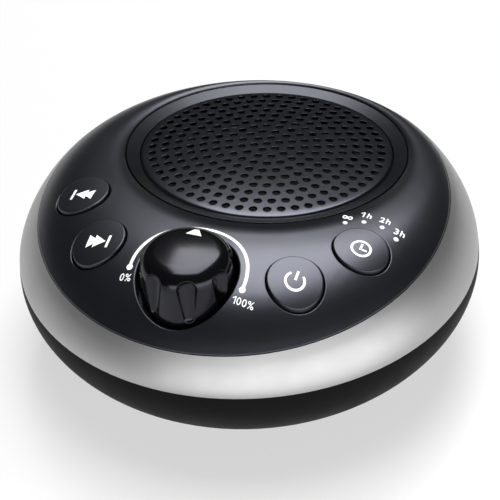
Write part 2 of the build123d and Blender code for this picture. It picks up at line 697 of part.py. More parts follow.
def light_guide():
    """Clear rods that carry the timer lights up to the panel, joined by a bridge."""
    radius = LIGHT_RADIUS - LIGHT_CLEARANCE
    surface = Pos(0, 0, LIGHT_PROUD) * upper_body(0)
    bottom = BOARD_TOP + LED_HEIGHT + LED_GAP
    bridge_bottom = SEAM_HEIGHT + LIGHT_BRIDGE_RISE
    places = light_places()
    guide = upright(*places[0], radius, bottom, REACH) & surface
    for x, y in places[1:]:
        guide += upright(x, y, radius, bottom, REACH) & surface
    half = radians(LIGHT_STEP * (LIGHTS - 1) / 2)
    path = CenterArc(
        (*TIMER_AT, bridge_bottom), LIGHT_CIRCLE, 90 - half * 180 / pi, half * 360 / pi
    )
    section = Plane(origin=path @ 0, z_dir=path % 0, x_dir=(0, 0, 1)) * Rectangle(
        2 * LIGHT_BRIDGE_HEIGHT, LIGHT_BRIDGE_WIDTH
    )
    return guide + sweep(section, path)


def timer_leds():
    """Light-emitting diodes on the control board under the guide."""
    return Compound(
        children=[block((*LED_SIZE, LED_HEIGHT), (x, y, BOARD_TOP)) for x, y in light_places()]
    )


# ---------------------------------------------------------------- control board
def control_board():
    """Crescent board round the front of the speaker, with holes for the case bosses."""
    bottom = BOARD_TOP - BOARD_THICKNESS
    board = upright(0, 0, BOARD_RADIUS, bottom, BOARD_TOP)
    board -= upright(0, RING_SETBACK, BOARD_SPEAKER_CLEARANCE, bottom, BOARD_TOP)
    board -= block((REACH, REACH, REACH), (0, BOARD_REAR_Y + REACH / 2, 0))
    for x, y in mirrored(CASE_SCREWS_AT):
        board -= upright(x, y, CASE_BOSS_RADIUS + BOSS_CLEARANCE, bottom, BOARD_TOP)
    for x, y in mirrored(BOARD_SCREWS_AT):
        board -= upright(x, y, SMALL_SCREW_RADIUS + CLEAR_HOLE, bottom, BOARD_TOP)
    return board


def board_chips():
    """Sound chip, memory and amplifier."""
    sound = block(CHIP_SIZE, (*CHIP_AT, BOARD_TOP))
    memory = block(SMALL_CHIP_SIZE, (*MEMORY_AT, BOARD_TOP))
    amplifier = block(SMALL_CHIP_SIZE, (*AMPLIFIER_AT, BOARD_TOP))
    return Compound(children=[sound, memory, amplifier])


def board_capacitors():
    """Two can capacitors."""
    cans = [
        upright(x, y, CAPACITOR_RADIUS, BOARD_TOP, BOARD_TOP + CAPACITOR_HEIGHT)
        for x, y in CAPACITOR_AT
    ]
    return Compound(children=cans)


# ---------------------------------------------------------------- fasteners
def screw(radius, length, head_radius):
    """Pan-head screw about Z: the head hangs below z = 0 and the shank points up."""
    head_height = head_radius * HEAD_SHARE
    body = upright(0, 0, radius, -head_height / 2, length)
    head = upright(0, 0, head_radius, -head_height, 0)
    head = fillet(head.edges().group_by(Axis.Z)[0], head_height / 3)
    depth = head_height * SLOT_SHARE
    for angle in (0, 90):
        slot = block((head_radius * 1.1, head_radius * 0.28, depth), (0, 0, -head_height))
        head -= Rot(0, 0, angle) * slot
    return body + head


def case_screws():
    """Four screws from the underside into the top panel."""
    one = screw(CASE_SCREW_RADIUS, CASE_SCREW_LENGTH, CASE_HEAD_RADIUS)
    seat = POST_TOP_Z - POST_WEB
    return Compound(children=[Pos(x, y, seat) * one for x, y in mirrored(CASE_SCREWS_AT)])


def board_screws():
    """Screws that hold the control board to the top panel."""
    one = screw(SMALL_SCREW_RADIUS, SMALL_SCREW_LENGTH, SMALL_HEAD_RADIUS)
    seat = BOARD_TOP - BOARD_THICKNESS
    return Compound(children=[Pos(x, y, seat) * one for x, y in mirrored(BOARD_SCREWS_AT)])


def speaker_screws():
    """Screws through the ears of the speaker frame."""
    one = screw(SMALL_SCREW_RADIUS, SMALL_SCREW_LENGTH, SMALL_HEAD_RADIUS)
    seat = SPEAKER_TOP - SPEAKER_FLANGE
    return Compound(children=[on_ring(Pos(x, y, seat) * one) for x, y in ear_places()])


def power_board_screws():
    """Screws that hold the power board to its posts."""
    one = Rot(180, 0, 0) * screw(SMALL_SCREW_RADIUS, SMALL_SCREW_LENGTH, SMALL_HEAD_RADIUS)
    y = power_board_y()
    return Compound(
        children=[Pos(side * POWER_POSTS_X, y, POWER_BOARD_TOP) * one for side in (-1, 1)]
    )


# ---------------------------------------------------------------- speaker
def speaker_gasket():
    """Foam ring between the panel's collar and the speaker."""
    return on_ring(tube(COLLAR_RADIUS, LEDGE_INNER_RADIUS, SPEAKER_TOP, -COLLAR_DROP))


def speaker_frame():
    """Pressed basket with four ears and four windows."""
    bottom = SPEAKER_TOP - SPEAKER_FLANGE
    frame = turned(
        [
            (BASKET_HUB_RADIUS, BASKET_FLOOR),
            (BASKET_FOOT_RADIUS, BASKET_FLOOR),
            (BASKET_TOP_RADIUS + BASKET_WALL, bottom),
            (FLANGE_OUTER, bottom),
            (FLANGE_OUTER, SPEAKER_TOP),
            (BASKET_TOP_RADIUS, SPEAKER_TOP),
            (BASKET_TOP_RADIUS, bottom),
            (BASKET_FOOT_RADIUS - BASKET_WALL, BASKET_FLOOR + BASKET_WALL),
            (BASKET_HUB_RADIUS, BASKET_FLOOR + BASKET_WALL),
        ]
    )
    for x, y in ear_places():
        ear = upright(x, y, EAR_RADIUS, bottom, SPEAKER_TOP)
        ear -= upright(0, 0, FLANGE_OUTER - BASKET_WALL, bottom, SPEAKER_TOP)
        frame += ear
        frame -= upright(x, y, SMALL_SCREW_RADIUS + CLEAR_HOLE, bottom, SPEAKER_TOP)
    window = Pos(0, 0, BASKET_FLOOR + 2 * BASKET_WALL) * Box(
        REACH,
        BASKET_FOOT_RADIUS,
        BASKET_DEPTH - SPEAKER_FLANGE - 4 * BASKET_WALL,
        align=(Align.MIN, Align.CENTER, Align.MIN),
    )
    for index in range(BASKET_WINDOWS):
        frame -= Rot(0, 0, 360 / BASKET_WINDOWS * index) * window
    return on_ring(frame)


def speaker_surround():
    """Half-roll of rubber round the cone."""
    inner = CONE_RADIUS + SURROUND_GAP
    middle = (inner + SURROUND_OUTER) / 2
    roll = (SURROUND_OUTER - inner) / 2
    arc_out = ThreePointArc(
        (middle - roll, CONE_TOP), (middle, CONE_TOP + roll), (middle + roll, CONE_TOP)
    )
    thin = roll - SURROUND_SHEET
    arc_in = ThreePointArc(
        (middle + thin, CONE_TOP), (middle, CONE_TOP + thin), (middle - thin, CONE_TOP)
    )
    feet = [Line(arc_out @ 1, arc_in @ 0), Line(arc_in @ 1, arc_out @ 0)]
    return on_ring(revolve(Plane.XZ * make_face([arc_out, arc_in, *feet]), Axis.Z))


def speaker_cone():
    """Paper cone."""
    cone = turned(
        [
            (COIL_RADIUS, CONE_FOOT),
            (COIL_RADIUS + CONE_SHEET, CONE_FOOT),
            (CONE_RADIUS, CONE_TOP - CONE_SHEET),
            (CONE_RADIUS, CONE_TOP),
            (CONE_RADIUS - CONE_SHEET, CONE_TOP),
            (COIL_RADIUS, CONE_FOOT + CONE_SHEET),
        ]
    )
    return on_ring(cone)


def cone_height(radius):
    """Height of the cone's upper face at a radius."""
    share = (radius - COIL_RADIUS) / (CONE_RADIUS - CONE_SHEET - COIL_RADIUS)
    return CONE_FOOT + CONE_SHEET + share * (CONE_TOP - CONE_FOOT - CONE_SHEET)


def dust_cap():
    """Dome over the voice coil, resting on the cone."""
    rim = cone_height(DUST_CAP_RADIUS)
    dome = (DUST_CAP_RADIUS**2 + DUST_CAP_RISE**2) / (2 * DUST_CAP_RISE)
    centre = Pos(0, 0, rim + DUST_CAP_RISE - dome)
    cap = centre * Sphere(dome) - centre * Sphere(dome - CONE_SHEET)
    return on_ring(cap & upright(0, 0, DUST_CAP_RADIUS, rim, rim + 2 * DUST_CAP_RISE))


def voice_coil():
    """Former and winding that hang from the cone into the magnet's gap."""
    inner = COIL_RADIUS - FORMER_WALL
    foot = CONE_FOOT - FORMER_LENGTH
    former = tube(COIL_RADIUS, inner, foot, CONE_FOOT + CONE_SHEET)
    winding = tube(COIL_RADIUS + COIL_WALL, inner, foot, foot + COIL_LENGTH)
    return on_ring(former + winding)


def speaker_spider():
    """Corrugated disc that centres the voice coil."""
    inner = COIL_RADIUS + SURROUND_GAP
    level = CONE_FOOT - SPIDER_DROP
    pitch = (SPIDER_OUTER - inner) / (2 * SPIDER_WAVES)
    ridge = [
        (inner + pitch * index, level + SPIDER_WAVE * (index % 2)) for index in range(2 * SPIDER_WAVES + 1)
    ]
    underside = [(radius, height - SPIDER_SHEET) for radius, height in reversed(ridge)]
    return on_ring(turned(ridge + underside))


def speaker_plate():
    """Steel front plate of the magnet."""
    bore = COIL_RADIUS + COIL_WALL + COIL_GAP
    return on_ring(tube(PLATE_RADIUS, bore, BASKET_FLOOR - PLATE_THICKNESS, BASKET_FLOOR))


def speaker_magnet():
    """Ferrite ring."""
    top = BASKET_FLOOR - PLATE_THICKNESS
    ring = tube(MAGNET_RADIUS, MAGNET_BORE, top - MAGNET_THICKNESS, top)
    return on_ring(chamfer(ring.edges().group_by(Axis.Z)[0], 0.6))


def speaker_yoke():
    """Back plate and pole piece."""
    top = BASKET_FLOOR - PLATE_THICKNESS - MAGNET_THICKNESS
    plate = upright(0, 0, YOKE_RADIUS, top - YOKE_THICKNESS, top)
    return on_ring(plate + upright(0, 0, POLE_RADIUS, top, BASKET_FLOOR))


# ---------------------------------------------------------------- power inlet
def power_board_y():
    """Middle of the power board, just inside the inlet's wall."""
    return INLET_FACE_Y - INLET_WALL - POWER_BOARD_GAP - POWER_BOARD_SIZE[1] / 2


def power_board():
    """Small board that carries the inlet."""
    y = power_board_y()
    size = (*POWER_BOARD_SIZE, BOARD_THICKNESS)
    board = block(size, (0, y, POWER_BOARD_TOP - BOARD_THICKNESS))
    board = chamfer(board.edges().filter_by(Axis.Z).group_by(Axis.Y)[-1], POWER_BOARD_CORNER)
    for side in (-1, 1):
        board -= upright(
            side * POWER_POSTS_X, y, SMALL_SCREW_RADIUS + CLEAR_HOLE, 0, REACH
        )
    return board


def power_socket():
    """Folded metal shell of the five-volt inlet, with its contact tongue behind the mouth."""
    width, length, height = SOCKET_SIZE
    mouth = INLET_FACE_Y - SOCKET_SETBACK
    outline = Plane.XZ * Pos(0, INLET_Z) * RectangleRounded(width, height, height / 4)
    inner = Plane.XZ * Pos(0, INLET_Z) * RectangleRounded(
        width - 2 * SOCKET_SHEET, height - 2 * SOCKET_SHEET, height / 5
    )
    shell = Pos(0, mouth, 0) * extrude(outline, length)
    cavity = Pos(0, mouth, 0) * extrude(inner, length - SOCKET_SHEET)
    return shell - cavity


def socket_tongue():
    """Insulating tongue that carries the contacts."""
    width, length, height = TONGUE_SIZE
    rear = INLET_FACE_Y - SOCKET_SETBACK - SOCKET_SIZE[1] + SOCKET_SHEET
    return Pos(0, rear, INLET_Z) * Box(
        width, length, height, align=(Align.CENTER, Align.MIN, Align.CENTER)
    )


# ---------------------------------------------------------------- export
PARTS = {
    "lower_shell": lower_shell,
    "rubber_feet": rubber_feet,
    "silver_band": silver_band,
    "top_panel": top_panel,
    "grille_bezel": grille_bezel,
    "grille_plate": grille_plate,
    "volume_knob": volume_knob,
    "pot_shaft": pot_shaft,
    "volume_pot": volume_pot,
    "tact_switches": tact_switches,
    "light_guide": light_guide,
    "timer_leds": timer_leds,
    "control_board": control_board,
    "board_chips": board_chips,
    "board_capacitors": board_capacitors,
    "case_screws": case_screws,
    "board_screws": board_screws,
    "speaker_screws": speaker_screws,
    "power_board_screws": power_board_screws,
    "speaker_gasket": speaker_gasket,
    "speaker_frame": speaker_frame,
    "speaker_surround": speaker_surround,
    "speaker_cone": speaker_cone,
    "dust_cap": dust_cap,
    "voice_coil": voice_coil,
    "speaker_spider": speaker_spider,
    "speaker_plate": speaker_plate,
    "speaker_magnet": speaker_magnet,
    "speaker_yoke": speaker_yoke,
    "power_board": power_board,
    "power_socket": power_socket,
    "socket_tongue": socket_tongue,
}


def main():
    """Builds every piece and writes one file for each."""
    os.makedirs("parts", exist_ok=True)
    for name, make in PARTS.items():
        export_step(make(), f"parts/{name}.step")
    for name, (x, y) in button_places().items():
        export_step(button_cap(x, y), f"parts/{name}.step")
        export_step(switch_plunger(x, y), f"parts/{name}_plunger.step")


main()
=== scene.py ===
"""White noise sound machine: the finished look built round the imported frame.

The CAD nodes keep their shapes and get their finishes here. The grille is rebuilt with round
punched holes, and the printed marks are laid on the panel, the knob and the keys.
Lengths are written in millimetres and turned to metres by MM, and a name that ends in _m is
already in metres.
"""

import logging
import math
from collections.abc import Iterable
from dataclasses import dataclass, field
from enum import Enum

import bmesh
import bpy
from mathutils import Matrix, Vector
from mathutils.bvhtree import BVHTree


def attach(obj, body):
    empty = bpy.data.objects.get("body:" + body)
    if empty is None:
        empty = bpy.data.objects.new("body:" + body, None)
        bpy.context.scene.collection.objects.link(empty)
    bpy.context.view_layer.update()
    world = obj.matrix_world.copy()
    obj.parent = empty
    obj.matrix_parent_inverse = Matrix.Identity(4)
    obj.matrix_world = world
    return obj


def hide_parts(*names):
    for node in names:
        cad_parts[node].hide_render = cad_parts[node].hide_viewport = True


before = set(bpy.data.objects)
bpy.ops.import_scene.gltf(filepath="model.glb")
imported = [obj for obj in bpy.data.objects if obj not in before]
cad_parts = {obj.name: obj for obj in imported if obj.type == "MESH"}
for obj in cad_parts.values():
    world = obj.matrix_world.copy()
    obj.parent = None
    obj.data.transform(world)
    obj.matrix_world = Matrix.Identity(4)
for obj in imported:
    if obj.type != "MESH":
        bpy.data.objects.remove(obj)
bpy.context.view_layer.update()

MM = 0.001
# Height of the widest seam above the surface that the machine stands on.
SEAM_HEIGHT = 27.0
log = logging.getLogger("sound_machine")

Point = tuple[float, float]
Outline = list[Point]
Tree = bpy.types.NodeTree
Socket = bpy.types.NodeSocket


# ------------------------------------------------------------------ helpers
# Distances in metres within which doubled corners are joined: in the grille's tree, in a mesh
# that comes from a tree, and in a print.
SHEET_WELD, MESH_WELD, PRINT_WELD = 2e-6, 1e-6, 1e-7


def linear(code: str) -> tuple[float, float, float, float]:
    """Turns an sRGB colour into a linear one.

    Args:
        code: hex colour such as "#1a1b1e".

    Returns:
        Red, green, blue and full opacity, linear.
    """
    parts = [int(code[i:i + 2], 16) / 255 for i in (1, 3, 5)]
    red, green, blue = [c / 12.92 if c <= 0.04045 else ((c + 0.055) / 1.055) ** 2.4 for c in parts]
    return red, green, blue, 1.0


def add(tree: Tree, kind: str, inputs: dict | None = None, **settings: object) -> bpy.types.Node:
    """Adds a node with its settings and links.

    Args:
        tree: node tree that gets the node.
        kind: the node's type name.
        inputs: socket name or index, to a value, an output socket to link, or a list of those.
        **settings: the node's own properties.

    Returns:
        The new node.
    """
    node = tree.nodes.new(kind)
    for key, value in settings.items():
        setattr(node, key, value)
    for key, value in (inputs or {}).items():
        sources = value if isinstance(value, list) else [value]
        if isinstance(sources[0], Socket):
            for source in sources:
                tree.links.new(source, node.inputs[key])
        else:
            node.inputs[key].default_value = value
    return node


# ------------------------------------------------------------------ finishes
# A wave texture of scale 1 gains this many radians of phase in one unit of length.
WAVE_PHASE = 20.0
# Share of its frequency that the drawn grain keeps along its lines.
DRAWN_SHARE = 0.04
# Span of a noise texture that holds nearly all of its values.
NOISE_SPAN = (0.3, 0.7)
# Upward part of the normal where the painted shade of upward faces starts, and where it is full.
UP_SHADE_SPAN = (0.86, 0.9)
BEVEL_SAMPLES = 6
# Sockets of a Mix node that mixes colours: its two colours and its result.
MIX_FIRST, MIX_SECOND, MIX_RESULT = 6, 7, 2


class Grain(Enum):
    """Fine relief that the making of a surface leaves on it."""

    SPARK = "spark-eroded mould texture"
    PEEL = "orange peel of sprayed or powder coat"
    DRAWN = "lines of drawn or rolled metal"
    FIBRE = "matted fibres"
    WEAVE = "crossed threads"
    WOUND = "turns of wire that lie on each other"


@dataclass(frozen=True)
class Lip:
    """Soft rolled edge round an opening, where the skin turns down into it.

    The slope grows with the square of the distance from the rolled edge's outer side.

    Attributes:
        centre: middle of the opening, in plan.
        radius_mm: radius of the opening.
        width_mm: width of the rolled edge.
        turn: how far the surface turns at the opening, as a slope.
    """

    centre: Point
    radius_mm: float
    width_mm: float
    turn: float

    def turned(self, tree: Tree, where: Socket, normal: Socket) -> Socket:
        """Turns the normal towards the middle of the opening near its edge.

        Args:
            tree: the material's nodes.
            where: place on the surface.
            normal: normal to turn.

        Returns:
            The turned normal.
        """
        kind = "ShaderNodeVectorMath"
        middle = (self.centre[0] * MM, self.centre[1] * MM, 0.0)
        inward = add(tree, kind, {0: middle, 1: where}, operation="SUBTRACT").outputs[0]
        level = add(tree, kind, {0: inward, 1: (1, 1, 0)}, operation="MULTIPLY").outputs[0]
        reach = add(tree, kind, {0: level}, operation="LENGTH").outputs["Value"]
        near = add(tree, "ShaderNodeMapRange",
                   {"Value": reach, "From Min": self.radius_mm * MM,
                    "From Max": (self.radius_mm + self.width_mm) * MM,
                    "To Min": self.turn ** 0.5, "To Max": 0.0}).outputs[0]
        share = add(tree, "ShaderNodeMath", {0: near, 1: 2.0}, operation="POWER").outputs[0]
        unit = add(tree, kind, {0: level}, operation="NORMALIZE").outputs[0]
        lean = add(tree, kind, {0: unit, "Scale": share}, operation="SCALE").outputs[0]
        leaned = add(tree, kind, {0: normal, 1: lean}, operation="ADD").outputs[0]
        return add(tree, kind, {0: leaned}, operation="NORMALIZE").outputs[0]


@dataclass(frozen=True)
class Finish:
    """A material with its grain, mottling and roughness.

    Attributes:
        name: what the material is.
        colour: main colour.
        shade: colour of the mottled places.
        rough: lowest and highest roughness.
        grain: kind of fine relief.
        grain_mm: width of one grain. The threads of a weave and the turns of a winding lie 2 pi
            times as far apart, which draws them coarse enough to show.
        depth_mm: height of the grain.
        mottle_mm: width of the uneven patches.
        metallic: 1 for an uncoated metal or a metal film.
        specular: strength of the reflection against the usual 0.5.
        tint: colour of the reflection when it is seen from straight on.
        coat: weight of a clear coat.
        edge_mm: radius that sharp edges look rounded to.
        glow: emission strength in the main colour.
        lip: rolled edge round an opening.
        cut: painted shade, a dark colour where the surface faces straight up.
    """

    name: str
    colour: str
    shade: str
    rough: tuple[float, float]
    grain: Grain = Grain.SPARK
    grain_mm: float = 0.3
    depth_mm: float = 0.01
    mottle_mm: float = 9.0
    metallic: float = 0.0
    specular: float = 0.5
    tint: str = "#ffffff"
    coat: float = 0.0
    edge_mm: float = 0.0
    glow: float = 0.0
    lip: Lip | None = None
    cut: str = ""

    def relief(self, tree: Tree, where: Socket) -> Socket:
        """Height of the grain, from 0 to 1.

        Args:
            tree: the material's nodes.
            where: place on the surface.

        Returns:
            The socket that carries the height.
        """
        scale = 1 / (self.grain_mm * MM)
        wave = {0: where, "Scale": scale / WAVE_PHASE}
        if self.grain is Grain.WEAVE:
            warp, weft = [
                add(tree, "ShaderNodeTexWave", wave | {"Distortion": 0.6},
                    bands_direction=axis).outputs["Fac"]
                for axis in ("X", "Y")
            ]
            return add(tree, "ShaderNodeMath", {0: warp, 1: weft}, operation="MAXIMUM").outputs[0]
        if self.grain is Grain.WOUND:
            return add(tree, "ShaderNodeTexWave", wave, bands_direction="Z").outputs["Fac"]
        if self.grain is Grain.DRAWN:
            where = add(tree, "ShaderNodeMapping",
                        {0: where, "Scale": (1.0, DRAWN_SHARE, 1.0)}).outputs[0]
        detail = 4.0 if self.grain is Grain.FIBRE else 2.0
        noise = add(tree, "ShaderNodeTexNoise",
                    {"Vector": where, "Scale": scale, "Detail": detail, "Roughness": 0.55})
        return noise.outputs["Fac"]

    def build(self) -> bpy.types.Material:
        """Makes the material, once for each name.

        Returns:
            The finished material.
        """
        known = bpy.data.materials.get(self.name)
        if known:
            return known
        material = bpy.data.materials.new(self.name)
        material.use_nodes = True
        tree = material.node_tree
        shader = tree.nodes["Principled BSDF"]
        where = add(tree, "ShaderNodeTexCoord").outputs["Object"]
        patches = add(tree, "ShaderNodeTexNoise",
                      {"Vector": where, "Scale": 1 / (self.mottle_mm * MM), "Detail": 5.0,
                       "Roughness": 0.6}).outputs["Fac"]
        colours = {0: patches, MIX_FIRST: linear(self.colour), MIX_SECOND: linear(self.shade)}
        tone = add(tree, "ShaderNodeMix", colours, data_type="RGBA").outputs[MIX_RESULT]
        # Painted shade: faces that point straight up get the dark cut colour, which hides their
        # highlight.
        if self.cut:
            facing = add(tree, "ShaderNodeNewGeometry").outputs["True Normal"]
            rise = add(tree, "ShaderNodeSeparateXYZ", {0: facing}).outputs[2]
            up_shade = add(tree, "ShaderNodeMapRange",
                       {"Value": rise, "From Min": UP_SHADE_SPAN[0], "From Max": UP_SHADE_SPAN[1]})
            colours = {0: up_shade.outputs[0], MIX_FIRST: tone, MIX_SECOND: linear(self.cut)}
            tone = add(tree, "ShaderNodeMix", colours, data_type="RGBA").outputs[MIX_RESULT]
        rough = add(tree, "ShaderNodeMapRange",
                    {"Value": patches, "From Min": NOISE_SPAN[0], "From Max": NOISE_SPAN[1],
                     "To Min": self.rough[0], "To Max": self.rough[1]}).outputs[0]
        bumps = {"Height": self.relief(tree, where), "Strength": 1.0,
                 "Distance": self.depth_mm * MM}
        if self.edge_mm:
            bumps["Normal"] = add(tree, "ShaderNodeBevel", {"Radius": self.edge_mm * MM},
                                  samples=BEVEL_SAMPLES).outputs[0]
        if self.lip:
            bumps["Normal"] = self.lip.turned(tree, where, bumps["Normal"])
        bump = add(tree, "ShaderNodeBump", bumps).outputs[0]
        for name, source in (("Base Color", tone), ("Roughness", rough), ("Normal", bump)):
            tree.links.new(source, shader.inputs[name])
        plain = {"Metallic": self.metallic, "Specular IOR Level": self.specular,
                 "Specular Tint": linear(self.tint), "Coat Weight": self.coat}
        if self.glow:
            plain |= {"Emission Color": linear(self.colour), "Emission Strength": self.glow}
        for name, value in plain.items():
            shader.inputs[name].default_value = value
        material.diffuse_color = linear(self.colour)
        return material


# Moulded ABS with a fine satin texture: near black, with soft, broad and slightly cool
# highlights, whose tint is painted for a cool light. Round the grille its edge is rolled.
PANEL_ABS = Finish("satin_black_abs", "#0b0c0e", "#0f1013", (0.32, 0.34), grain_mm=0.35,
                   depth_mm=0.005, edge_mm=0.35, specular=0.95, tint="#dfe2f4",
                   lip=Lip((0.0, 16.3), 36.8, 5.5, 0.75))
# The keys have the panel's mould texture, in a touch lighter and more matte black, with the
# same painted cool tint in their highlights.
KEY_ABS = Finish("satin_key_abs", "#0d0e11", "#131418", (0.34, 0.36), grain_mm=0.35,
                 depth_mm=0.005, edge_mm=0.3, specular=1.0, tint="#dfe2f4")
# ABS from a polished mould: gloss black, with small highlights that end softly. Their faint
# cool tint is painted for a cool light.
KNOB_ABS = Finish("gloss_black_abs", "#060608", "#09090b", (0.16, 0.19), grain_mm=0.8,
                  depth_mm=0.001, edge_mm=0.3, specular=0.38, tint="#e4e6f6")
# Coarser matte texture of the lower shell, which hides scuffs.
SHELL_ABS = Finish("matte_black_abs", "#080809", "#0c0c0d", (0.5, 0.62), grain_mm=0.45,
                   depth_mm=0.02, edge_mm=0.3, specular=0.08)
# Vacuum-metallised ABS under satin lacquer: an even silver with soft reflections. Its top
# edge, which faces straight up, is painted near black: painted shade that hides its highlight.
SILVER_LACQUER = Finish("satin_silver_lacquer", "#b2b2b2", "#adadad", (0.44, 0.47), Grain.PEEL,
                        grain_mm=0.6, depth_mm=0.001, metallic=1.0, cut="#080808")
# Thin satin powder coat on pressed steel: near black with cool reflections and a fine orange
# peel. The cool tint of its reflections is painted for a cool light.
POWDER_COAT = Finish("satin_powder_coat", "#0d0e11", "#121317", (0.22, 0.25), Grain.PEEL,
                     grain_mm=0.5, depth_mm=0.003, specular=0.85, tint="#dfe3f8")
# The bezel is moulded in the panel's black with a smoother texture, with the same painted
# cool tint in its reflections.
BEZEL_ABS = Finish("smooth_black_abs", "#0b0c0e", "#101113", (0.24, 0.28), grain_mm=0.4,
                   depth_mm=0.003, edge_mm=0.25, specular=0.55, tint="#dfe4f8")
# Soft black rubber of the feet: no gloss, with a fine matte bloom.
FOOT_RUBBER = Finish("black_rubber", "#161616", "#222222", (0.75, 0.9), grain_mm=0.4, depth_mm=0.03)
# Pad-printed white ink: flat, with a slightly uneven cover. Its glow, painted light that ink
# doesn't give, keeps it a clean white.
WHITE_INK = Finish("white_pad_print", "#f6f6f6", "#ececec", (0.5, 0.6), Grain.PEEL, grain_mm=0.3,
                   depth_mm=0.004, mottle_mm=2.0, glow=0.35)
# Milky acrylic light guide: faintly lit white points where its rods end in the panel.
MILKY_ACRYLIC = Finish("milky_acrylic", "#f3f3f1", "#e9e9e7", (0.25, 0.35), grain_mm=0.5,
                       depth_mm=0.003, mottle_mm=2.0, glow=0.15)
# Glass-filled nylon of switches and the potentiometer.
SWITCH_NYLON = Finish("black_glass_filled_nylon", "#17181a", "#202124", (0.4, 0.55), Grain.FIBRE,
                      grain_mm=0.4, depth_mm=0.01, mottle_mm=2.0)
# Zinc-plated steel: bright grey with a faint drawn grain.
ZINC_STEEL = Finish("zinc_plated_steel", "#b9bcc0", "#a5a8ab", (0.28, 0.42), Grain.DRAWN,
                    grain_mm=0.25, depth_mm=0.01, mottle_mm=2.0, metallic=1.0)
# Green solder mask over glass cloth: semi-gloss, with the weave faintly raised.
SOLDER_MASK = Finish("green_solder_mask", "#0f4a2a", "#0b3d22", (0.25, 0.4), Grain.WEAVE,
                     grain_mm=0.6, depth_mm=0.004, mottle_mm=4.0, coat=0.3)
# Epoxy chip packages: dull black with a moulded grain.
CHIP_EPOXY = Finish("chip_epoxy", "#151516", "#1d1d1e", (0.5, 0.65), grain_mm=0.25, depth_mm=0.01,
                    mottle_mm=1.5)
# Drawn aluminium cans of the capacitors.
CAN_ALUMINIUM = Finish("drawn_aluminium", "#c9cbce", "#bcbec2", (0.25, 0.38), Grain.DRAWN,
                       grain_mm=0.3, depth_mm=0.006, mottle_mm=1.5, metallic=1.0)
# White-yellow phosphor faces of the small lights.
LED_PHOSPHOR = Finish("led_phosphor", "#efe7c4", "#e6dcb4", (0.4, 0.5), grain_mm=0.2,
                      depth_mm=0.006, mottle_mm=0.8)
# Open-cell foam gasket: very dull, deep grain.
GASKET_FOAM = Finish("open_cell_foam", "#1a1a1a", "#262626", (0.9, 1.0), Grain.FIBRE, grain_mm=0.5,
                     depth_mm=0.12, mottle_mm=1.5)
# Black-painted pressed steel of the speaker basket.
BASKET_PAINT = Finish("black_basket_paint", "#141517", "#1d1e20", (0.35, 0.5), Grain.PEEL,
                      grain_mm=0.5, depth_mm=0.01, mottle_mm=3.0)
# Butyl rubber surround of the speaker: smooth, semi-matte.
SURROUND_RUBBER = Finish("butyl_rubber", "#0e0e0f", "#161617", (0.45, 0.6), grain_mm=0.4,
                         depth_mm=0.01, mottle_mm=3.0)
# Pressed paper pulp cone with visible fibres.
CONE_PAPER = Finish("pressed_paper_pulp", "#17171a", "#232326", (0.75, 0.9), Grain.FIBRE,
                    grain_mm=0.7, depth_mm=0.06, mottle_mm=2.5)
# Enamelled copper wire of the voice coil.
COPPER_WIRE = Finish("enamelled_copper", "#b4622c", "#9c4f20", (0.2, 0.32), Grain.WOUND,
                     grain_mm=0.3, depth_mm=0.05, mottle_mm=1.5, metallic=1.0)
# Phenolic-dipped cotton of the speaker's spider: a dull amber weave.
SPIDER_CLOTH = Finish("phenolic_cotton", "#9a6b2c", "#835722", (0.6, 0.75), Grain.WEAVE,
                      grain_mm=0.5, depth_mm=0.05, mottle_mm=2.0)
# Sintered ferrite ring magnet: dark grey, dull.
FERRITE = Finish("sintered_ferrite", "#232426", "#2e2f32", (0.55, 0.7), grain_mm=0.4,
                 depth_mm=0.03, mottle_mm=2.0)
# Satin laminate of the studio floor: its glow lifts it to an even white.
PALE_LAMINATE = Finish("pale_laminate", "#9f9f9f", "#9d9d9d", (0.3, 0.34), grain_mm=3.0,
                       depth_mm=0.001, mottle_mm=60.0, specular=0.4, glow=1.72)

NODE_FINISHES = {
    "lower_shell": SHELL_ABS, "rubber_feet": FOOT_RUBBER, "silver_band": SILVER_LACQUER,
    "top_panel": PANEL_ABS, "grille_bezel": BEZEL_ABS, "volume_knob": KNOB_ABS,
    "pot_shaft": ZINC_STEEL, "volume_pot": SWITCH_NYLON, "tact_switches": SWITCH_NYLON,
    "light_guide": MILKY_ACRYLIC, "timer_leds": LED_PHOSPHOR, "control_board": SOLDER_MASK,
    "board_chips": CHIP_EPOXY, "board_capacitors": CAN_ALUMINIUM, "case_screws": ZINC_STEEL,
    "board_screws": ZINC_STEEL, "speaker_screws": ZINC_STEEL, "power_board_screws": ZINC_STEEL,
    "speaker_gasket": GASKET_FOAM, "speaker_frame": BASKET_PAINT,
    "speaker_surround": SURROUND_RUBBER, "speaker_cone": CONE_PAPER, "dust_cap": CONE_PAPER,
    "voice_coil": COPPER_WIRE, "speaker_spider": SPIDER_CLOTH, "speaker_plate": ZINC_STEEL,
    "speaker_magnet": FERRITE, "speaker_yoke": ZINC_STEEL, "power_board": SOLDER_MASK,
    "power_socket": ZINC_STEEL, "socket_tongue": CHIP_EPOXY,
}
KEYS = ("power", "timer", "next", "previous")
for key in KEYS:
    NODE_FINISHES[f"{key}_button"] = KEY_ABS
    NODE_FINISHES[f"{key}_button_plunger"] = SWITCH_NYLON


def dress(piece: bpy.types.Object, finish: Finish) -> None:
    """Gives a piece one finish.

    Args:
        piece: a CAD node or a new piece.
        finish: its material.
    """
    if not piece.material_slots:
        piece.data.materials.append(None)
    for place in piece.material_slots:
        place.material = finish.build()


# ------------------------------------------------------------------ grille
# Inputs of the grille's tree, by kind.
GRILLE_INPUTS = {
    "Geometry": ("Geometry",),
    "Int": ("Rings", "Hole Sides", "Rim Sides"),
    "Float": ("Ring Radius", "Hole Radius", "Hole Edge", "Thickness", "Rim Radius", "Rim Round",
              "Skirt", "Dome Radius", "Crown"),
    "Material": ("Finish",),
}
